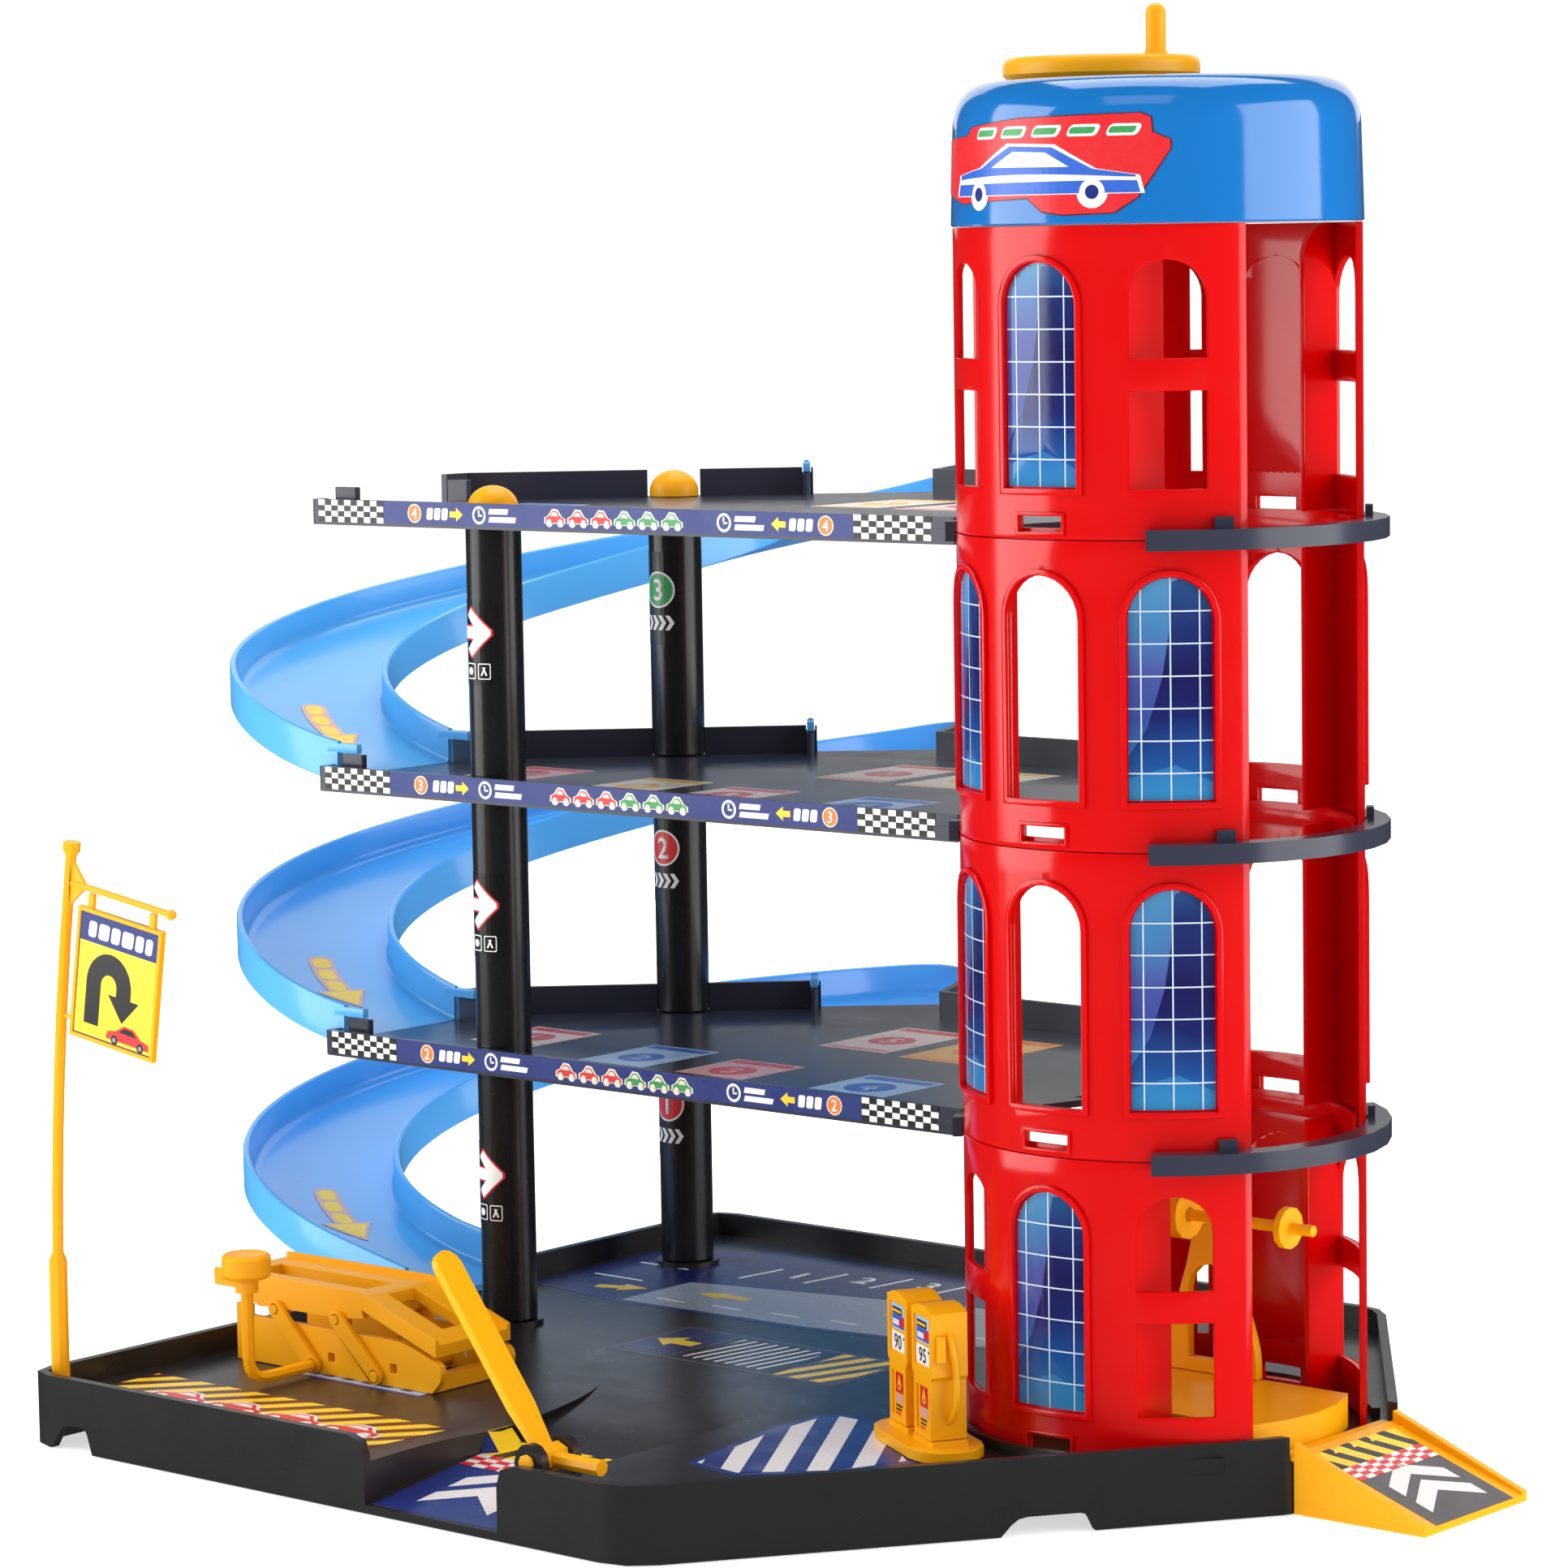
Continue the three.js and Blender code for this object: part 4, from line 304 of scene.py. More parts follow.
INK_CODES = {
    "navy": "172c78", "deep": "18205c", "blue": "2f62c4", "sky": "a8c8ee", "frost": "c3d3e2",
    "black": "141414", "smoke": "4b4749", "grey": "8d8f97", "ash": "a0a6b2", "white": "f4f4f2",
    "paper": "e8e4e2", "cream": "e9e2cf", "blush": "e9cfc6", "rose": "d9a6a0", "maroon": "5a1712",
    "red": "d8232a", "orange": "ef7c2a", "amber": "f2b233", "yellow": "ffd21f", "leaf": "3a9a55",
}
INK = {key: ink("ink_" + key, code) for key, code in INK_CODES.items()}


# Meshes
def add_object(name, mesh, materials):
    for material in materials:
        mesh.materials.append(material)
    return shown(bpy.data.objects.new(name, mesh))


def smooth(mesh, angle=35):
    mesh.polygons.foreach_set("use_smooth", [True] * len(mesh.polygons))
    mesh.set_sharp_from_angle(angle=math.radians(angle))


def finished(bm, name):
    """The mesh that a bmesh holds."""
    mesh = bpy.data.meshes.new(name)
    bm.to_mesh(mesh)
    bm.free()
    return mesh


def evaluated(piece):
    graph = bpy.context.evaluated_depsgraph_get()
    return bpy.data.meshes.new_from_object(piece.evaluated_get(graph))


def apply_modifiers(piece):
    mesh = evaluated(piece)
    piece.modifiers.clear()
    piece.data = mesh


def mesh_from(curve):
    """A curve or a text as a mesh. The curve itself goes."""
    holder = shown(bpy.data.objects.new(curve.name, curve))
    mesh = evaluated(holder)
    bpy.data.objects.remove(holder)
    bpy.data.curves.remove(curve)
    return mesh


def sliced(bm, axis, size):
    """Cuts the faces across an axis into strips no wider than a size."""
    low, high = (pick(v.co[axis] for v in bm.verts) for pick in (min, max))
    count = int((high - low) / size) + 1
    way = Vector((axis == 0, axis == 1, 0))
    for i in range(1, count):
        at = way * (low + (high - low) * i / count)
        geometry = bm.verts[:] + bm.edges[:] + bm.faces[:]
        bmesh.ops.bisect_plane(bm, geom=geometry, plane_co=at, plane_no=way, dist=1e-5)


def stands_for(piece, node):
    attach(piece, NODE_BODY[node])
    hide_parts(node)


def dress(node, material=None, bevel=0.35, angle=32, segments=2):
    """A copy of a solid with its edges rounded and its surfaces smoothed."""
    bm = bmesh.new()
    bm.from_mesh(frame["nodes"][node].data)
    bmesh.ops.remove_doubles(bm, verts=bm.verts, dist=1e-6)
    bmesh.ops.dissolve_limit(bm, angle_limit=math.radians(0.6), verts=bm.verts, edges=bm.edges)
    piece = add_object(node + "_moulding", finished(bm, node), [material or MATERIALS[NODE_SLOT[node]]])
    if bevel:
        rounding = piece.modifiers.new("rounding", "BEVEL")
        rounding.width, rounding.segments = bevel * MM, segments
        rounding.limit_method, rounding.angle_limit = "ANGLE", math.radians(angle)
        apply_modifiers(piece)
    smooth(piece.data, 50)
    weighted = piece.modifiers.new("weighted", "WEIGHTED_NORMAL")
    weighted.weight, weighted.keep_sharp = 100, True
    apply_modifiers(piece)
    stands_for(piece, node)
    return piece


def lathe(name, profile, axis, material, steps=96, angle=35):
    """A profile of radius and height turned round an upright axis."""
    bm = bmesh.new()
    rings = []
    for radius, height in profile:
        turns = [2 * math.pi * i / steps for i in range(steps)] if radius else [0]
        rings.append([bm.verts.new(axis + around(turned, radius, height) * MM) for turned in turns])
    for low, high in zip(rings, rings[1:]):
        for i in range(steps):
            j = (i + 1) % steps
            if len(low) == 1:
                bm.faces.new((low[0], high[j], high[i]))
            elif len(high) == 1:
                bm.faces.new((low[i], low[j], high[0]))
            else:
                bm.faces.new((low[i], low[j], high[j], high[i]))
    bmesh.ops.recalc_face_normals(bm, faces=bm.faces)
    mesh = finished(bm, name)
    smooth(mesh, angle)
    return add_object(name, mesh, [material])


def joined(name, meshes, material, angle=35):
    """Several meshes as one object."""
    bm = bmesh.new()
    for mesh in meshes:
        bm.from_mesh(mesh)
    whole = finished(bm, name)
    smooth(whole, angle)
    return add_object(name, whole, [material])


# Loops of points
def arc(cx, cy, radius, start, end, steps=6):
    """Points of an arc in degrees."""
    turns = [math.radians(start + (end - start) * i / steps) for i in range(steps + 1)]
    return [(cx + radius * math.cos(t), cy + radius * math.sin(t)) for t in turns]


def rect(u0, v0, u1, v1, lean=0.0):
    return [(u0, v0), (u1, v0), (u1 + lean, v1), (u0 + lean, v1)]


def plate_mesh(loops, thickness, bevel):
    """A flat plate with holes and rounded edges, in millimetres, its middle at height 0."""
    curve = bpy.data.curves.new("plate", "CURVE")
    curve.dimensions, curve.fill_mode = "2D", "BOTH"
    curve.extrude, curve.offset = thickness / 2 - bevel, -bevel
    curve.bevel_depth, curve.bevel_resolution = bevel, 1
    for loop in loops:
        spline = curve.splines.new("POLY")
        spline.points.add(len(loop) - 1)
        for point, (x, y) in zip(spline.points, loop):
            point.co = (x, y, 0, 1)
        spline.use_cyclic_u = True
    return mesh_from(curve)


def bent(loops, thickness, bevel, radius, place, step=3.2):
    """A plate round an upright axis: x runs along the arc, y is height, z is outwards."""
    mesh = plate_mesh(loops, thickness, bevel)
    bm = bmesh.new()
    bm.from_mesh(mesh)
    bmesh.ops.remove_doubles(bm, verts=bm.verts, dist=1e-4)
    sliced(bm, 0, step)
    for v in bm.verts:
        v.co = place + around(v.co.x / radius, radius + v.co.z, v.co.y) * MM
    bmesh.ops.recalc_face_normals(bm, faces=bm.faces)
    bm.to_mesh(mesh)
    bm.free()
    return mesh


# Tower
ARCH_WIDTH, ARCH_SILL, ARCH_TOP = 30, 17.2, 94
SPLIT_WIDTH, SPLIT_SILL, SPLIT_RAIL, SPLIT_ARCH_SILL = 26.5, 17, 50, 61
SLOT_WIDTH, SLOT_HEIGHT, SLOT_SILL, SLOT_RIM = 18, 5.5, 2.5, 1.3
NEAR, MID, FAR = 51, 88.5, 124  # places of the arches, in degrees from the tower's middle plane
FRAME_WIDTH = 2.2
PANEL, PANEL_LAP = 1.5, 0.8
LIP, LIP_RISE, LIP_INSET, LIP_BACK = 1.8, 4, 10, 1.3
FIN_X, FIN_REACH, FIN_THICKNESS, FIN_FLARE = 32, 41.5, 2, 14
WINDOW_MARGIN, BAR, PANE, PANE_RISE, FIRST_BAR = 0.6, 0.5, 10, 11, 9.3


def arch_loop(middle, margin=0.0, width=ARCH_WIDTH, sill=ARCH_SILL, top=ARCH_TOP):
    half = width / 2
    foot = [(middle - half - margin, sill - margin), (middle + half + margin, sill - margin)]
    return foot + arc(middle, top - half, half + margin, 0, 180, 14)


def pane_loop(middle, width, sill, top):
    return rect(middle - width / 2, sill, middle + width / 2, top)


def slot_loop(middle, margin=0.0):
    return pane_loop(middle, SLOT_WIDTH + 2 * margin, SLOT_SILL - margin, SLOT_SILL + SLOT_HEIGHT + margin)


def fins(level, side, place, height):
    """The two upright guide fins inside a half shell."""
    inner = TOWER_R - SHEET
    root = inner * math.cos(math.asin(FIN_X / inner)) + SHEET / 2
    foot = LIP_RISE + 2 * GAP
    loop = [(FIN_REACH, foot), (root, foot), (root, height)]
    if level == 3:
        loop += arc(FIN_REACH + FIN_FLARE, height - FIN_FLARE, FIN_FLARE, 90, 180, 8)
    else:
        loop += [(FIN_REACH, height)]
    made = []
    for end in (-1, 1):
        mesh = plate_mesh([loop], FIN_THICKNESS, 0.3)
        upright = Matrix(((0, 0, 1, end * FIN_X), (side, 0, 0, 0), (0, 1, 0, 0), (0, 0, 0, 1)))
        mesh.transform(Matrix.Translation(place) @ Matrix.Scale(MM, 4) @ upright)
        if side > 0:
            mesh.flip_normals()
        made.append(mesh)
    return made


def tower_shell(level, side):
    """Half a storey of the tower: wall with openings, frames round its arches, lip on top."""
    split = level in (0, 3)
    closed = [MID] if split else [NEAR, FAR]
    framed = closed if split else [NEAR, FAR, MID]
    place = TOWER_AXIS + Vector((0, 0, (LEVELS[level] + GAP) * MM))
    height = STOREY - GAP
    first = DOORWAY if side > 0 else DOORWAY - 180
    last = first + 180 - 2 * DOORWAY
    wall, rim, back = TOWER_R - SHEET / 2, TOWER_R + FRAME_RISE / 2 - 0.3, TOWER_R - SHEET + PANEL / 2

    def spot(angle, radius):
        """The length along the arc to an angle on this side."""
        return side * angle * DEGREE * radius

    loops = [rect(first * DEGREE * wall, 0, last * DEGREE * wall, height)]
    loops += [arch_loop(spot(angle, wall)) for angle in framed]
    if split:
        for angle in (NEAR, FAR):
            middle = spot(angle, wall)
            loops.append(arch_loop(middle, width=SPLIT_WIDTH, sill=SPLIT_ARCH_SILL))
            loops.append(pane_loop(middle, SPLIT_WIDTH, SPLIT_SILL, SPLIT_RAIL))
    loops.append(slot_loop(spot(MID, wall)))
    meshes = [bent(loops, SHEET, 0.35, wall, place)]
    for angle in framed:
        middle = spot(angle, rim)
        loops = [arch_loop(middle, FRAME_WIDTH), arch_loop(middle)]
        meshes.append(bent(loops, FRAME_RISE + 0.6, 0.45, rim, place))
    for angle in closed:
        meshes.append(bent([arch_loop(spot(angle, back), PANEL_LAP)], PANEL, 0.1, back, place))
    meshes += fins(level, side, place, height)
    slot_r = TOWER_R + 0.25
    middle = spot(MID, slot_r)
    meshes.append(bent([slot_loop(middle, SLOT_RIM), slot_loop(middle)], 1.1, 0.35, slot_r, place))
    if level < 3:
        lip_r = TOWER_R - SHEET - LIP_BACK
        ends = [angle * DEGREE * lip_r for angle in (first + LIP_INSET, last - LIP_INSET)]
        lip = rect(ends[0], height - LIP_RISE, ends[1], height + LIP_RISE)
        meshes.append(bent([lip], LIP, 0.3, lip_r, place, 4))
    name = "tower_%s_%d" % ("back" if side > 0 else "front", level + 1)
    stands_for(joined(name + "_moulding", meshes, RED), name)
    for angle in closed:
        window_film(name + "_film_%d" % angle, side * angle, place)


def glass_print(name, codes):
    """Printed window: colours that run into each other from sill to arch."""
    make = Shader(name)
    split = make.node("ShaderNodeSeparateXYZ")
    make.fill(split.inputs[0], make.place)
    storeys = make.calculate("MULTIPLY_ADD", split.outputs["Z"], 1 / (STOREY * MM), -TRAY_FLOOR / STOREY)
    wave = make.spread(make.noise(22, 2, 0.5), -0.06, 0.06)
    ramp = make.node("ShaderNodeValToRGB")
    make.fill(ramp.inputs["Fac"], make.calculate("ADD", make.calculate("FRACT", storeys), wave))
    stops = ramp.color_ramp.elements
    start, end = 0.16, 0.9
    stops[0].position, stops[0].color = start, linear(codes[0])
    stops[1].position, stops[1].color = end, linear(codes[-1])
    for k, code in enumerate(codes[1:-1], 1):
        stops.new(start + (end - start) * k / (len(codes) - 1)).color = linear(code)
    make.set(Base_Color=ramp.outputs["Color"], Roughness=make.spread(make.noise(60, 4), 0.1, 0.18))
    make.bump(make.noise(260, 2), 0.01 * MM)
    return make.material


GLASS = glass_print("window_print", ("2f86b8", "2a6cab", "31478f", "464f96", "3f76a8", "4f8fba"))
DUSK = glass_print("window_dusk", ("1c6fa8", "1a4a8e", "192160", "1a1850", "1e2c66", "27588a"))
# Edge of the dusky patch, as shares of half the window's width and of its height
DUSK_EDGE = [(0.05, 0.98), (0, 0.8), (-0.2, 0.55), (-0.55, 0.33), (-1, 0.2), (-1, 0.1)]
DUSK_EDGE += [(0.1, 0.16), (1, 0.08)]


def window_film(name, angle, place):
    """The sticker in a closed arch: film, dusky patch and bars wrapped on the panel."""
    surface = TOWER_R - SHEET + PANEL + 0.06
    middle = angle * DEGREE * surface
    half = ARCH_WIDTH / 2 - WINDOW_MARGIN
    sill, top = ARCH_SILL + WINDOW_MARGIN, ARCH_TOP - WINDOW_MARGIN
    outline = arch_loop(0, 0, 2 * half, sill, top)
    ground = bent([[(middle + u, v) for u, v in outline]], 0.1, 0.02, surface, place, 2.5)
    patch = [(u * half, sill + v * (top - sill)) for u, v in DUSK_EDGE]
    patch += [p for p in outline[2:] if p[0] > 0.1 * half]
    shade = bent([[(middle + u, v) for u, v in reversed(patch)]], 0.06, 0.01, surface + 0.07, place, 2.5)
    bars = []
    for u in (-PANE, 0, PANE):
        bars.append(rect(u - BAR / 2, sill, u + BAR / 2, top - half + math.sqrt(half**2 - u**2)))
    y = sill + FIRST_BAR
    while y < top - 1:
        wide = math.sqrt(max(half**2 - max(0.0, y - (top - half)) ** 2, 1.0))
        bars.append(rect(-wide, y - BAR / 2, wide, y + BAR / 2))
        y += PANE_RISE
    bar_r = surface + 0.14
    meshes = []
    for bar in bars:
        loop = [((middle + u) * bar_r / surface, v) for u, v in bar]
        meshes.append(bent([loop], 0.06, 0.01, bar_r, place, 3))
    layers = (("", [ground], GLASS), ("_dusk", [shade], DUSK), ("_bars", meshes, INK["frost"]))
    for ending, parts, material in layers:
        piece = joined(name + ending, parts, material)
        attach(piece, "garage")


for level in range(4):
    for side in (-1, 1):
        tower_shell(level, side)


def cap_profile():
    """Section of the cap: slightly tapered wall, round shoulder and flat top with a hole."""
    shoulder_foot = CAP_HEIGHT - CAP_SHOULDER
    reach, hole, steps = CAP_R - CAP_TAPER, 6, 12
    shoulder = []
    for i in range(1, steps + 1):
        t = i / steps
        shoulder.append((reach - CAP_SHOULDER * t * t, CAP_HEIGHT - CAP_SHOULDER * (1 - t) ** 2))
    inside = [(x - SHEET, z - SHEET) for x, z in reversed(shoulder)] + [(reach - SHEET, shoulder_foot)]
    rim = [(CAP_R - SHEET, GAP + 0.3), (CAP_R - 0.6, GAP), (CAP_R, GAP + 0.6), (CAP_R - 0.05, GAP + 1)]
    opening = [(hole, CAP_HEIGHT), (hole, CAP_HEIGHT - SHEET)]
    return opening[1:] + inside + rim + [(reach, shoulder_foot)] + shoulder + opening


cap = lathe("tower_cap_moulding", cap_profile(), TOWER_AXIS + Vector((0, 0, LEVELS[4] * MM)), BLUE, 128, 45)
stands_for(cap, "tower_cap")

# Columns and their caps
for row, (x, y) in COLUMNS.items():
    for level in range(3):
        node = "column_%s_%d" % (row, level + 1)
        foot = GAP + (2 if level == 0 else 0)
        head = STOREY - SHEET - GAP
        profile = [(0, foot + 8), (SOCKET_R, foot + 8), (SOCKET_R, foot), (COLUMN_R - 0.5, foot)]
        profile += [(COLUMN_R, foot + 0.5), (COLUMN_R, head - 0.5), (COLUMN_R - 0.5, head), (SPIGOT_R, head)]
        profile += [(SPIGOT_R, STOREY + 7.5), (SPIGOT_R - 0.5, STOREY + 8), (0, STOREY + 8)]
        stands_for(lathe(node + "_tube", profile, P(x, y, LEVELS[level]), BLACK, 64, 30), node)
    node = "column_cap_" + row
    dome = [(0, 8.4), (SOCKET_R, 8.4), (SOCKET_R, GAP), (10, GAP), (10, 2)]
    dome += [(10 * math.cos(a * DEGREE), 2 + 8.8 * math.sin(a * DEGREE)) for a in range(10, 90, 10)]
    dome += [(0, 10.8)]
    stands_for(lathe(node + "_dome", dome, P(x, y, LEVELS[3]), YELLOW, 48, 50), node)

# Spiral ramps
SPIRAL_WIDTH = SPIRAL_OUTER - SPIRAL_INNER
SPIRAL_MIDDLE = (SPIRAL_INNER + SPIRAL_OUTER) / 2
SPIRAL_CURVE = (SPIRAL_END - SPIRAL_START) * DEGREE * SPIRAL_MIDDLE
LEAD_WAY = around((SPIRAL_START + 90) * DEGREE, 1)


def spiral_point(angle, radius):
    turned = math.radians(angle)
    return Vector((SPIRAL_X + radius * math.cos(turned), SPIRAL_Y + radius * math.sin(turned), 0))


def exit_point(radius):
    return spiral_point(SPIRAL_START, radius) - LEAD_WAY * SPIRAL_LEAD


def spiral_fall(level):
    """How far a ramp goes down, and the length of its run-out on the ground."""
    return (STOREY - RUN_OUT_RISE, GROUND_RUN_OUT) if level == 1 else (STOREY, 0)


def spiral_floor(level, travelled, across):
    """Height of the floor, which goes down evenly and tips inwards between its eased ends."""
    drop, run_out = spiral_fall(level)
    t = travelled / (SPIRAL_LEAD + SPIRAL_CURVE + run_out)
    ease = max(0.0, min(1.0, min(t, 1 - t) / SPIRAL_EASING))
    bank = SPIRAL_BANK * ease * ease * (3 - 2 * ease) / SPIRAL_WIDTH
    return LEVELS[level] + bank * across - drop * t


def spiral_face():
    """Section of the ramp: floor between two walls with round tops."""
    width, wall, rise = SPIRAL_WIDTH, SPIRAL_WALL, SPIRAL_WALL_RISE
    top = wall / 2
    points = [(0.5, -SHEET), (width - 0.5, -SHEET), (width, -SHEET + 0.5), (width, rise - top)]
    points += arc(width - top, rise - top, top, 0, 180, 4)[1:]
    points += arc(width - wall - 4, 4, 4, 0, -90, 4)
    points += [(wall + 1.5, 0)] + arc(wall + 1.5, 1.5, 1.5, -90, -180, 3)[1:]
    points += arc(top, rise - top, top, 0, 180, 4)
    return points + [(0, -SHEET + 0.5)]


def spiral_ramp(level):
    drop, run_out = spiral_fall(level)
    stations = [(travel, "lead", travel) for travel in (GAP, 12, 24, 36)]
    steps = 92
    for i in range(steps + 1):
        angle = SPIRAL_START + (SPIRAL_END - SPIRAL_START) * i / steps
        stations.append((SPIRAL_LEAD + SPIRAL_CURVE * i / steps, "curve", angle))
    if run_out:
        stations.append((SPIRAL_LEAD + SPIRAL_CURVE + run_out, "out", run_out))
    bm = bmesh.new()
    rows = []
    for travelled, kind, value in stations:
        row = []
        for u, v in spiral_face():
            radius = SPIRAL_INNER + u
            if kind == "lead":
                spot = exit_point(radius) + LEAD_WAY * value
            elif kind == "curve":
                spot = spiral_point(value, radius)
            else:
                spot = spiral_point(SPIRAL_END, radius) + Vector((value, 0, 0))
            row.append(bm.verts.new(P(spot.x, spot.y, spiral_floor(level, travelled, u) + v)))
        rows.append(row)
    count = len(rows[0])
    for low, high in zip(rows, rows[1:]):
        for i in range(count):
            j = (i + 1) % count
            bm.faces.new((low[i], high[i], high[j], low[j]))
    bm.faces.new(rows[0])
    bm.faces.new(rows[-1][::-1])
    bmesh.ops.recalc_face_normals(bm, faces=bm.faces)
    name = "spiral_ramp_%d" % (level + 1)
    meshes = [finished(bm, name)] + hooks(level, drop, run_out)
    stands_for(joined(name + "_moulding", meshes, LIT_SPIRAL_BLUE, 40), name)


def hooks(level, drop, run_out):
    """Tabs at the ends of a ramp's walls."""
    bottom, top, length = 9 + GAP, SPIRAL_WALL_RISE - 0.9, 11
    meshes = []
    for radius in (SPIRAL_INNER + SPIRAL_WALL / 2, SPIRAL_OUTER - SPIRAL_WALL / 2):
        spots = [(exit_point(radius), LEAD_WAY, 0)]
        if not run_out:
            spots.append((spiral_point(SPIRAL_END, radius), Vector((-1, 0, 0)), drop))
        for spot, back, lower in spots:
            start = spot + back * (length / 2)
            end = spot - back * length
            side = Vector((-back.y, back.x, 0)) * (SPIRAL_WALL / 2)
            loop = [start + side, end + side, end - side, start - side]
            mesh = plate_mesh([[(p.x, p.y) for p in loop]], top - bottom, 0.5)
            shift = P(0, 0, LEVELS[level] - lower + (top + bottom) / 2)
            mesh.transform(Matrix.Translation(shift) @ Matrix.Scale(MM, 4))
            meshes.append(mesh)
    return meshes


for level in (1, 2, 3):
    spiral_ramp(level)

# Crank
DISC_R, DISC_BASE, DISC_TOP = 34.6, CAP_HEIGHT + 0.9, CAP_HEIGHT + 8.4
PEG_R, PEG_REACH = 3.5, 23.7
crank_axis = P(CRANK_X, TOWER_Y, LEVELS[4])
crank_profile = [(0, DISC_BASE), (DISC_R - 1.5, DISC_BASE), (DISC_R, DISC_BASE + 1.5)]
crank_profile += arc(DISC_R - 3, DISC_TOP - 3, 3, 0, 90) + [(0, DISC_TOP)]
stands_for(lathe("crank_moulding", crank_profile, crank_axis, YELLOW, 96, 40), "crank")
peg_tip = CAD_BOX[1].z / MM - LEVELS[4] - PEG_R
peg_profile = [(5.2, DISC_TOP - 0.4), (4.2, DISC_TOP + 0.5), (PEG_R, DISC_TOP + 1.6)]
peg_profile += arc(0, peg_tip, PEG_R, 0, 90)[:-1] + [(0, peg_tip + PEG_R)]
peg = lathe("crank_peg", peg_profile, crank_axis + Vector((PEG_REACH * MM, 0, 0)), YELLOW, 32, 50)
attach(peg, "crank")

# Mouldings whose shape is right and whose edges want rounding
dress("base_tray", TRAY_BLACK, bevel=0.9, segments=3)
dress("entry_ramp", bevel=0.7)
for level in (2, 3, 4):
    dress("deck_%d" % level, bevel=0.6)
    dress("balcony_%d" % level, bevel=0.8, angle=40)
SMALL_MOULDINGS = """
    lift_platform lift_hanger lift_spindle sign_post sign_panel barrier_arm barrier_pin
    pump_island pump_left pump_right service_frame service_table
    link_left_front link_left_back link_right_front link_right_back
    service_axle service_rod service_knob winch_drum winch_plate
"""
for node in SMALL_MOULDINGS.split():
    dress(node)
dress("string_feed", bevel=0)

# The string rides with the garage, so its upper end stays, and gets a mesh of its own
string = dress("lift_string", bevel=0)
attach(string, "garage")
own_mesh(string)

# Printed films: flat shapes in a surface's own millimetres, laid on it in layers
FILM, LAYER = 0.1, 0.06


def film(name, items, place, step=0.0, step_v=0.0):
    """One sticker. An item is a loop of points or a flat mesh, the ink's name and its layer."""
    keys = list(dict.fromkeys(key for shape, key, layer in items))
    whole = bmesh.new()
    for shape, key, layer in items:
        part = bmesh.new()
        if isinstance(shape, list):
            part.faces.new([part.verts.new((u, v, 0)) for u, v in shape])
        else:
            part.from_mesh(shape)
        for axis, size in enumerate((step, step_v)):
            if size:
                sliced(part, axis, size)
        made = bmesh.ops.extrude_face_region(part, geom=part.faces[:], use_keep_orig=True)
        for v in made["geom"]:
            if isinstance(v, bmesh.types.BMVert):
                v.co.z = FILM + layer * LAYER
        for v in part.verts:
            v.co = place(v.co.x, v.co.y, v.co.z + 0.01)
        bmesh.ops.recalc_face_normals(part, faces=part.faces)
        for face in part.faces:
            face.material_index = keys.index(key)
        mesh = finished(part, "print")
        whole.from_mesh(mesh)
        bpy.data.meshes.remove(mesh)
    piece = add_object(name, finished(whole, name), [INK[key] for key in keys])
    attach(piece, "garage")


def disc(u, v, radius, steps=28):
    turns = [2 * math.pi * i / steps for i in range(steps)]
    return [(u + radius * math.cos(t), v + radius * math.sin(t)) for t in turns]


def pill(u0, v0, u1, v1, radius, lean=0.0):
    """A rectangle with round corners, leaning over by a share of its height."""
    left, right, low, high = u0 + radius, u1 - radius, v0 + radius, v1 - radius
    loop = []
    for u, v, start in ((right, low, -90), (right, high, 0), (left, high, 90), (left, low, 180)):
        loop += arc(u, v, radius, start, start + 90, 4)
    return [(u + (v - v0) * lean, v) for u, v in loop]


def arrow(u, v, length, width, turn=0.0):
    """An arrow that points along a direction in degrees, with its middle at u, v."""
    half, neck, tip = width / 2, width * 0.21, length / 2
    loop = [(-tip, -neck), (0, -neck), (0, -half), (tip, 0), (0, half), (0, neck), (-tip, neck)]
    c, s = math.cos(math.radians(turn)), math.sin(math.radians(turn))
    return [(u + x * c - y * s, v + x * s + y * c) for x, y in loop]


def grown(loop, by):
    """A loop pushed outwards from its middle by about so many millimetres."""
    mu, mv = (sum(p[k] for p in loop) / len(loop) for k in (0, 1))
    out = []
    for u, v in loop:
        reach = math.hypot(u - mu, v - mv) or 1
        out.append((u + (u - mu) / reach * by, v + (v - mv) / reach * by))
    return out


def number(text, size, u, v):
    """A flat mesh of a number with its middle at u, v."""
    curve = bpy.data.curves.new("number", "FONT")
    curve.body = text
    curve.size, curve.offset, curve.resolution_u = size / 0.69, 0.02 * size, 3
    curve.align_x = curve.align_y = "CENTER"
    mesh = mesh_from(curve)
    bm = bmesh.new()
    bm.from_mesh(mesh)
    bmesh.ops.remove_doubles(bm, verts=bm.verts, dist=1e-4)
    middle = [sum(pick(p.co[k] for p in bm.verts) for pick in (min, max)) / 2 for k in (0, 1)]
    for p in bm.verts:
        p.co = (p.co.x + u - middle[0], p.co.y + v - middle[1], 0)
    bm.to_mesh(mesh)
    bm.free()
    return mesh


def checker(u0, v0, u1, v1, columns, rows, key, layer):
    wide, high = (u1 - u0) / columns, (v1 - v0) / rows
    spots = [(u0 + wide * i, v0 + high * j) for i in range(columns) for j in range(rows) if (i + j) % 2 == 0]
    return [(rect(a, b, a + wide, b + high), key, layer) for a, b in spots]


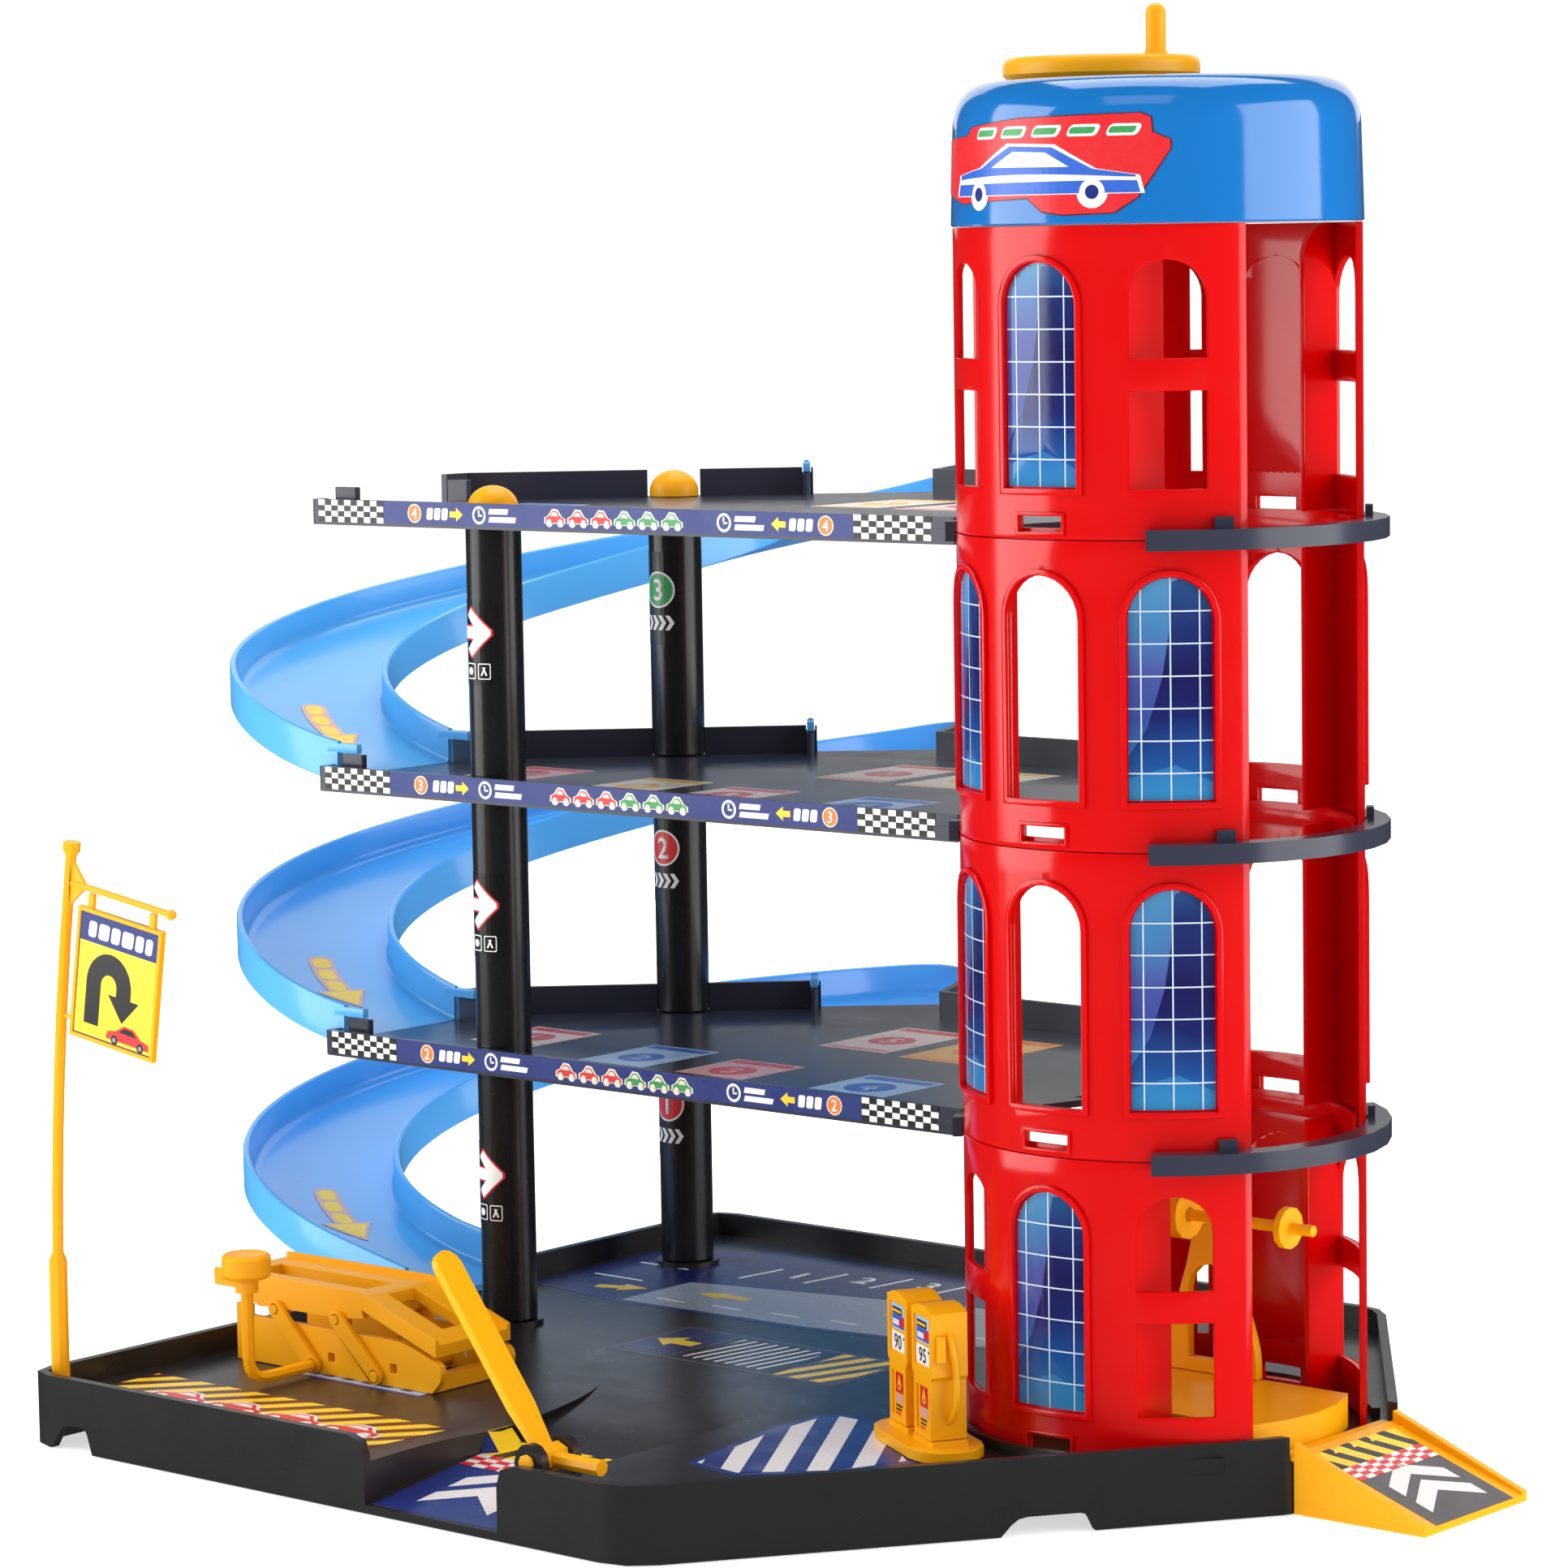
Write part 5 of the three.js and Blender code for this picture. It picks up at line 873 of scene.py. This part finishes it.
def cut(loop, start, end):
    """The part of a loop to the left of a line."""
    across, along = start[1] - end[1], end[0] - start[0]
    out = []
    for k, point in enumerate(loop):
        before = loop[k - 1]
        d0, d1 = ((p[0] - start[0]) * across + (p[1] - start[1]) * along for p in (before, point))
        if (d0 > 1e-6) != (d1 > 1e-6):
            t = d0 / (d0 - d1)
            out.append(tuple(before[m] + (point[m] - before[m]) * t for m in (0, 1)))
        if d1 > 1e-6:
            out.append(point)
    return out


def within(loops, outline, key, layer):
    """Items for the parts of loops inside a convex outline that runs anticlockwise."""
    items = []
    for loop in loops:
        for i, end in enumerate(outline):
            loop = cut(loop, outline[i - 1], end) if len(loop) > 2 else []
        if len(loop) > 2:
            items.append((loop, key, layer))
    return items


def stripes(u0, v0, u1, v1, count, lean, key, layer, share=0.5):
    """Slanting bars in a rectangle."""
    pitch = (u1 - u0 + abs(lean)) / count
    starts = [u0 - max(lean, 0) + i * pitch for i in range(count + 1)]
    bars = [rect(a, v0, a + pitch * share, v1, lean) for a in starts]
    return within(bars, rect(u0, v0, u1, v1), key, layer)


def swoosh(u0, u1, v, rise, thick, steps=28):
    """A low bow whose thickness tapers to its ends."""
    top, low = [], []
    for i in range(steps + 1):
        t = i / steps
        u = u0 + (u1 - u0) * t
        w = v + rise * math.sin(math.pi * t)
        half = thick * (0.45 + 0.55 * math.sin(math.pi * min(1, 0.08 + t))) / 2
        top.append((u, w + half))
        low.append((u, w - half))
    return low + top[::-1]


CAR_BODY = [(1, 0.12), (0.98, 0.44), (0.8, 0.56), (0.62, 0.96), (0.4, 1)]
CAR_BODY += [(0.22, 0.62), (0.03, 0.5), (0, 0.12)]
CAR_GLASS = [(0.7, 0.6), (0.59, 0.87), (0.42, 0.9), (0.29, 0.62)]


def car_side(u, v, length, height, keys=("red", "black", "grey"), layer=3, edge=None):
    """A plain car seen from its side, with its middle at u and its foot at v."""

    def placed(points):
        return [(u + (x - 0.5) * length, v + y * height) for x, y in points]

    body = placed(CAR_BODY)
    items = [(grown(body, edge[1]), edge[0], layer - 1)] if edge else []
    items += [(body, keys[0], layer), (placed(CAR_GLASS), keys[1], layer + 1)]
    for spot in placed(((0.2, 0.14), (0.8, 0.14))):
        if edge:
            items.append((disc(*spot, height * 0.24 + edge[1] * 0.7, 18), edge[0], layer - 1))
        items.append((disc(*spot, height * 0.24, 18), keys[1], layer + 1))
        items.append((disc(*spot, height * 0.13, 14), keys[2], layer + 2))
    return items


# Fascia strips: checkered ends, numbers, arrows, clocks, bars and small cars on navy
FASCIA_LEFT, FASCIA_RIGHT, FASCIA_LOW, FASCIA_HIGH, FASCIA_END = -13.3, 297.4, -4.3, 4.4, 35.9


def fascia(level):
    items = [(rect(FASCIA_LEFT, FASCIA_LOW, FASCIA_RIGHT, FASCIA_HIGH), "navy", 0)]
    for u0 in (FASCIA_LEFT, FASCIA_RIGHT - FASCIA_END):
        box = (u0, FASCIA_LOW, u0 + FASCIA_END, FASCIA_HIGH)
        items += [(rect(*box), "white", 1)] + checker(*box, 10, 4, "black", 2)
    for u, way in ((39.8, 1), (248.4, -1)):
        items += [(disc(u, 0, 3.7), "cream", 1), (disc(u, 0, 3.2), "orange", 2)]
        items.append((number(str(level), 4.2, u, 0), "white", 3))
        items.append((arrow(u + way * 22.5, 0, 7, 5.4, 0 if way > 0 else 180), "yellow", 1))
        for k in range(3):
            a = u + way * (8 + 4 * k)
            items.append((pill(a - 1.6, -2.3, a + 1.6, 2.3, 0.8, 0.12), "white", 1))
    for u in (79.5, 204.5):
        items += [(rect(u, 0.5, u + 10, 2.6, 0.6), "white", 1), (rect(u, -2.6, u + 14, -0.5, 0.6), "white", 1)]
        items += [(disc(u - 5, 0, 3.5), "white", 1), (disc(u - 5, 0, 2.5), "navy", 2)]
        items.append((rect(u - 5.4, -0.2, u - 4.7, 2.0), "white", 3))
        items.append((rect(u - 5.4, -0.5, u - 3.3, 0.2), "white", 3))
    for u0, key in ((114.3, "red"), (150.0, "leaf")):
        for k in range(3):
            items += car_side(u0 + 11.9 * k, -2.6, 9.6, 5.2, (key, "cream", "cream"), 2, ("cream", 0.8))
    z = LEVELS[level - 1]
    film("fascia_print_%d" % level, items, lambda u, v, w: P(u, DECK_FRONT - w, z + v))


# Parking bays on the decks
BAYS = (
    (28, 222, 62, 262), (99, 205, 132, 254), (149, 205, 183, 246),
    (216, 205, 252, 246), (153, 290, 187, 345), (197, 286, 232, 345),
)
BAY_COLOURS = {
    2: ("blush", "sky", "rose", "sky", "blush", "amber"),
    3: ("rose", "cream", "blush", "sky", "blush", "cream"),
    4: ("sky", "rose", "cream", "sky", "cream", "blush"),
}
BAY_ACCENTS = {"blush": "red", "rose": "red", "sky": "blue", "cream": "amber", "amber": "orange"}


def deck_prints(level):
    """Bays with a border, a number on a disc and a bar of another colour."""
    items = []
    for k, ((u0, v0, u1, v1), ground) in enumerate(zip(BAYS, BAY_COLOURS[level])):
        accent, wide = BAY_ACCENTS[ground], u1 - u0
        u, v = (u0 + u1) / 2, v0 + (v1 - v0) * 0.45
        items += [(rect(u0, v0, u1, v1), ground, 0), (rect(u0 + 2, v1 - 8, u1 - 2, v1 - 2), accent, 1)]
        items += [(rect(u0 + 2, v0 + 2, u1 - 2, v0 + 4), accent, 1), (disc(u, v, wide * 0.28), accent, 1)]
        items.append((number(str(k + 1), wide * 0.3, u, v), ground, 2))
    z = LEVELS[level - 1]
    film("bays_%d" % level, items, lambda u, v, w: P(u, v, z + w))


for level in (2, 3, 4):
    fascia(level)
for level in (2, 3, 4):
    deck_prints(level)


# Prints on the columns
def on_column(row, level):
    x, y = COLUMNS[row]

    def place(u, v, w):
        return on_round(x, y, u / COLUMN_R - math.pi / 2, COLUMN_R + w, LEVELS[level - 1] + v)

    return place


POINTER = [(-7.5, 58.2), (-1, 58.2), (-5.2, 54.0), (-2.6, 51.2), (6.4, 59.6)]
POINTER += [(6.4, 61.4), (-2.6, 69.8), (-5.2, 67.0), (-1, 62.8), (-7.5, 62.8)]
for level in (1, 2, 3):
    sign = [(rect(-9.3, 40, 9.3, 73), "black", 0), (grown(POINTER, 1.0), "red", 1), (POINTER, "white", 2)]
    for u in (-3.4, 3.4):
        sign.append((pill(u - 2.7, 42.4, u + 2.7, 48.6, 0.6), "white", 1))
        sign.append((pill(u - 2.3, 42.8, u + 2.3, 48.2, 0.5), "black", 2))
    sign.append((disc(-3.4, 45.5, 1.5, 16), "white", 3))
    sign.append((rect(2.0, 43.9, 2.7, 47.1, 1.4), "white", 3))
    sign.append((rect(4.1, 43.9, 4.8, 47.1, -1.4), "white", 3))
    film("column_arrow_%d" % level, sign, on_column("front", level), step=2.0)
    badge = [(rect(-8.5, 46, 8.5, 84), "black", 0), (disc(0, 68.5, 7.5), "paper", 1)]
    badge.append((disc(0, 68.5, 6.7), "leaf" if level == 3 else "red", 2))
    badge.append((number(str(level), 8.4, 0, 68.5), "paper", 3))
    for k in range(4):
        chevron = ((-7, 52), (-5.1, 52), (-3.1, 55), (-5.1, 58), (-7, 58), (-5, 55))
        badge.append(([(u + 3.4 * k, v) for u, v in chevron], "paper", 1))
    film("column_number_%d" % level, badge, on_column("rear", level), step=2.0)


# Prints on the tray's floor
def on_floor(u, v, w):
    return P(u, v, TRAY_FLOOR + w)


ROAD = [(20, 262), (72, 254), (168, 258), (252, 272), (252, 300)]
ROAD += [(190, 366), (160, 372), (60, 368), (20, 340)]
LANE = [(74, 258), (166, 262), (248, 275), (248, 296), (214, 332), (74, 300)]
road = [(ROAD, "deep", 0), (LANE, "ash", 1)]
for u, v in ((84, 268), (112, 270), (140, 273), (168, 276), (196, 280), (224, 285)):
    road.append((rect(u, v, u + 14, v + 1.2, 0.4), "white", 2))
for u, v in ((84, 318), (112, 326), (140, 334), (168, 341)):
    road.append((rect(u, v, u + 1.4, v + 24, 3), "white", 2))
for v in (290, 318):
    road.append((rect(30, v, 56, v + 1.3), "white", 2))
for place_and_size in ((58, 276, 22, 12, 20), (104, 287, 24, 11, 185), (190, 300, 24, 11, 5)):
    road.append((arrow(*place_and_size), "yellow", 3))
for k, (u, v) in enumerate(((102, 336), (130, 344), (158, 351))):
    road.append((number(str(k + 1), 11, u, v), "white", 3))
film("road_print", road, on_floor)

hatch = [(rect(130, 188, 243, 236), "smoke", 0), (rect(133, 191, 158, 233), "deep", 1)]
hatch += [(arrow(145, 212, 20, 16, 180), "yellow", 2), (rect(160, 191, 210, 233), "black", 1)]
hatch += stripes(164, 194, 206, 230, 9, 6, "white", 2, 0.28)
hatch += stripes(212, 191, 240, 233, 4, 14, "yellow", 1)
film("hatch_print", hatch, on_floor)

ZONE = [(279, 67), (304, 63.5), (331, 88), (343, 116), (318, 138)]
ZONE += [(290, 157), (276, 157.5), (268, 150), (269, 118)]
ZONE_INNER = [(281, 70), (302, 67), (327, 90), (338, 115), (315, 134)]
ZONE_INNER += [(288, 153), (277, 153), (271.5, 148), (272.5, 118)]
bands = []
for k in range(5):
    band = rect(277 + 15 * k, -150, 284.5 + 15 * k, 40)
    bands.append([(0.85 * p - 0.53 * q, 0.53 * p + 0.85 * q) for p, q in band])
zone = [(ZONE, "navy", 0), (ZONE_INNER, "paper", 1)] + within(bands, ZONE_INNER, "navy", 2)
film("zone_print", zone, on_floor)

WELCOME = [(24, 14), (173, 14), (177, 54.5), (24, 53.5)]
bands = [rect(14.5 * k - 34, 10, 14.5 * k - 26.6, 58, 42) for k in range(15)]
welcome = [(WELCOME, "maroon", 0)] + within(bands, WELCOME, "yellow", 1)
for k in range(4):
    welcome += car_side(60 + 30 * k, 27, 27, 12, ("red", "paper", "paper"), 3, ("paper", 1.6))
film("welcome_print", welcome, on_floor)

service = [(rect(62, 84, 132, 136), "navy", 0), (rect(64, 86, 130, 134), "sky", 1)]
service += stripes(66, 88, 128, 132, 7, 10, "navy", 2)
film("service_print", service, on_floor)


# Prints on sloping floors follow the moulding under them
def onto(node):
    mesh = frame["nodes"][node].data
    tree = BVHTree.FromPolygons([v.co for v in mesh.vertices], [p.vertices[:] for p in mesh.polygons])

    def place(u, v, w):
        top = P(u, v, 60)
        spot = tree.ray_cast(top, Vector((0, 0, -1)))[0]
        return Vector((top.x, top.y, spot.z + w * MM))

    return place


def gate_marks(ground, u0, v0, u1, v1, lean):
    """Ground colour with white chevrons, a red checker and slanting bars beyond it."""
    check, bars = v0 + (v1 - v0) * 0.62, v0 + (v1 - v0) * 0.78
    items = [(rect(u0, v0, u1, v1), ground, 0), (rect(u0, check, u1, bars), "paper", 1)]
    items += checker(u0, check, u1, bars, 10, 4, "red", 2)
    items.append((rect(u0, bars, u1, v1), "yellow", 1))
    items += stripes(u0, bars, u1, v1, 5, lean, "black", 2, 0.45)
    middle, rise = (u0 + u1) / 2, (check - v0) * 0.3
    left, right = middle - 17, middle + 17
    for k in range(2):
        v = v0 + (check - v0) * (0.2 + 0.36 * k)
        loop = [(left, v), (middle, v + rise), (right, v), (right, v + rise * 0.75)]
        items.append((loop + [(middle, v + rise * 1.75), (left, v + rise * 0.75)], "paper", 1))
    return items


film("lane_print", gate_marks("navy", 189.5, 2, 249.5, 72, 8), onto("base_tray"), step=6, step_v=4)
# The ramp's marks are drawn like the lane's and turned a quarter, so that they run in from its foot
ramp_marks = gate_marks("smoke", 200.5, 450.2, 248.5, 499.6, -8)
ramp_marks = [([(950 - v, u) for u, v in shape], key, layer) for shape, key, layer in ramp_marks]
film("ramp_print", ramp_marks, onto("entry_ramp"), step=4, step_v=12)


# Badge on the cap: a red flag with a plain car, a row of dashes over it and a light line along its side
def on_cap(u, v, w):
    angle = math.radians(-96) + u / (CAP_R - CAP_TAPER)
    straight = CAP_HEIGHT - CAP_SHOULDER
    reach = CAP_R - CAP_TAPER * min(1, max(0, v / straight))
    if v > straight:
        t = 1 - math.sqrt(max(0.0, 1 - (v - straight) / CAP_SHOULDER))
        reach = CAP_R - CAP_TAPER - CAP_SHOULDER * t * t
    return on_round(TOWER_X, TOWER_Y, angle, reach + w + 0.12, LEVELS[4] + v)


FLAG = [(-52, 12), (-30, 8), (6, 9.5), (12, 4.8), (20, 3.6), (38, 4), (46, 9), (57, 25), (57, 28), (51, 30.5)]
FLAG += [(50.5, 35.5), (47, 37), (2, 36), (-24, 34), (-28, 31), (-53, 30)]
badge = [(grown(FLAG, 0.5), "maroon", 0), (FLAG, "red", 1)]
for k in range(5):
    badge.append((pill(-21 + 14 * k, 29.6, -10 + 14 * k, 33.6, 1.4, 0.5), "paper", 2))
    badge.append((pill(-20 + 14 * k, 30.5, -11 + 14 * k, 32.7, 0.8, 0.5), "leaf", 3))
badge += car_side(6, 8.4, 82, 18.5, ("blue", "paper", "navy"), 3, ("paper", 1.5))
badge.append((swoosh(-34, 46, 15.2, 0.8, 2.6), "paper", 4))
film("cap_badge", badge, on_cap, step=3, step_v=2.5)

# Sign panel, both faces: a turning arrow, a red car and a row of blocks
SIGN_LEAN = math.radians(8.7)
SIGN_W, SIGN_H, SIGN_RECESS, SIGN_EDGE = 46, 49, 0.6, 1.7
along = Vector((math.cos(SIGN_LEAN), 0, -math.sin(SIGN_LEAN)))
upward = Vector((math.sin(SIGN_LEAN), 0, math.cos(SIGN_LEAN)))
points = [v.co for v in frame["nodes"]["sign_panel"].data.vertices]
low_u, low_v = (min(p.dot(way) for p in points) for way in (along, upward))
low_y, high_y = (pick(p.y for p in points) for pick in (min, max))


def on_sign(u, v, w, back=False):
    across = SIGN_W - u if back else u
    y = high_y + (w - SIGN_RECESS) * MM if back else low_y - (w - SIGN_RECESS) * MM
    spot = along * (low_u + across * MM) + upward * (low_v + v * MM)
    return Vector((spot.x, y, spot.z))


edge, right, top = SIGN_EDGE, SIGN_W - SIGN_EDGE, SIGN_H - SIGN_EDGE
sign = [(rect(edge, edge, right, top), "navy", 0)]
sign.append((rect(edge + 0.4, edge + 0.4, right - 0.6, top - 10.5), "yellow", 1))
for a, wide in ((6, 4.2), (11.4, 5.6), (18.2, 4.6), (24, 6), (31.2, 4.2), (36.6, 3.6)):
    sign.append((pill(a, top - 8.6, a + wide, top - 2.6, 1.2, 0.08), "paper", 1))
turning = [(7, 6.5)] + arc(19, 22.4, 12, 180, 0, 18) + [(31, 19.5), (35.5, 19.5), (27.2, 10.4), (19, 19.5)]
turning += [(23.2, 19.5)] + arc(19, 22.4, 4.2, 0, 180, 12) + [(14.8, 6.5)]
sign += [(turning, "black", 2)] + car_side(31, 2.6, 23, 7.2)
film("sign_front", sign, on_sign)
film("sign_back", sign, lambda u, v, w: on_sign(u, v, w, True))

# Labels in the recesses of the fuel pumps, front and back
PUMP_X, PUMP_Y, PUMP_TURN, PUMP_APART, PUMP_FACE = 330, 137, math.radians(-30), 12, 5.95


def pump_labels(node, side, mark):
    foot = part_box(node)[0].z

    def on_pump(u, v, w, face=-1):
        a, b = side * PUMP_APART - face * u, face * (PUMP_FACE + w)
        x = PUMP_X + a * math.cos(PUMP_TURN) - b * math.sin(PUMP_TURN)
        y = PUMP_Y + a * math.sin(PUMP_TURN) + b * math.cos(PUMP_TURN)
        return P(x, y) + Vector((0, 0, foot + v * MM))

    drop = arc(0, 13.2, 1.7, -180, 0, 10) + [(0, 17.2)]
    label = [(rect(-6.7, 33.2, 6.7, 42.2), "sky", 0), (rect(-6.1, 33.8, 6.1, 38.2), "blue", 1)]
    label += [(rect(-5.6, 38.4, 3.4, 40.9), "black", 2), (rect(-5.2, 34.6, 0.6, 36.6), "paper", 2)]
    label += [(rect(1.2, 34.6, 5.4, 37.6), "red", 2), (rect(-5.0, 39.1, 2.8, 40.2), "amber", 3)]
    label += [(rect(-6.7, 25.3, 6.7, 32.2), "white", 0), (number(mark, 5.0, -0.8, 28.7), "black", 1)]
    label += [(disc(5.1, 30.6, 0.6, 12), "black", 1), (rect(-3.6, 10.4, 3.6, 17.9), "red", 0)]
    label += [(rect(-3.6, 6.9, 3.6, 10.0), "rose", 0), (drop, "yellow", 1)]
    label.append((disc(0, 12.9, 0.8, 12), "red", 2))
    for k, key in enumerate(("black", "black", "red")):
        label.append((rect(-3.4, 5.4 - 1.4 * k, 2.6 - 0.8 * k, 6.1 - 1.4 * k), key, 0))
    film(node + "_label", label, on_pump)
    film(node + "_back_label", label, lambda u, v, w: on_pump(u, v, w, 1))


pump_labels("pump_left", -1, "90")
pump_labels("pump_right", 1, "95")


# Dashed arrows on the floors of the spiral ramps: round yellow dashes in a pale red border, and a head
def on_spiral(level):
    def place(u, v, w):
        radius = SPIRAL_MIDDLE + v
        spot = spiral_point(SPIRAL_START + math.degrees(u / SPIRAL_MIDDLE), radius)
        floor_height = spiral_floor(level, SPIRAL_LEAD + u, radius - SPIRAL_INNER)
        return P(spot.x, spot.y, floor_height + w + 0.12)

    return place


DASH_START, DASH_PITCH, DASH_COUNT, DASH_V = 402, 13, 3, -1
end = DASH_START + DASH_PITCH * DASH_COUNT
dashes = [(pill(DASH_START - 2.5, DASH_V - 5.2, end + 1, DASH_V + 5.2, 4.8), "rose", 0)]
for k in range(DASH_COUNT):
    u = DASH_START + DASH_PITCH * k
    dashes.append((pill(u, DASH_V - 3.4, u + DASH_PITCH - 1.6, DASH_V + 3.4, 3.2), "yellow", 1))
head = [(end - 1, DASH_V - 9), (end + 15, DASH_V), (end - 1, DASH_V + 9)]
dashes += [(grown(head, 2.6), "rose", 0), (head, "yellow", 1)]
for level in (1, 2, 3):
    film("ramp_arrow_%d" % level, dashes, on_spiral(level), step=2.5)

# Floor, in metres
FLOOR_REACH, FLOOR_Z = 40.0, -0.0005
corners = [(u, v, FLOOR_Z) for u, v in rect(-FLOOR_REACH, -FLOOR_REACH, FLOOR_REACH, FLOOR_REACH)]
floor_mesh = bpy.data.meshes.new("floor")
floor_mesh.from_pydata(corners, [], [(0, 1, 2, 3)])
paper = Shader("floor_paper")
paper.set(Base_Color=paper.mix(paper.noise(3, 2), linear("f7f7f6"), linear("fdfdfd")))
paper.set(Roughness=0.7, Emission_Color=(1, 1, 1, 1), Emission_Strength=0.62)
floor = add_object("floor", floor_mesh, [paper.material])
floor.visible_glossy = False
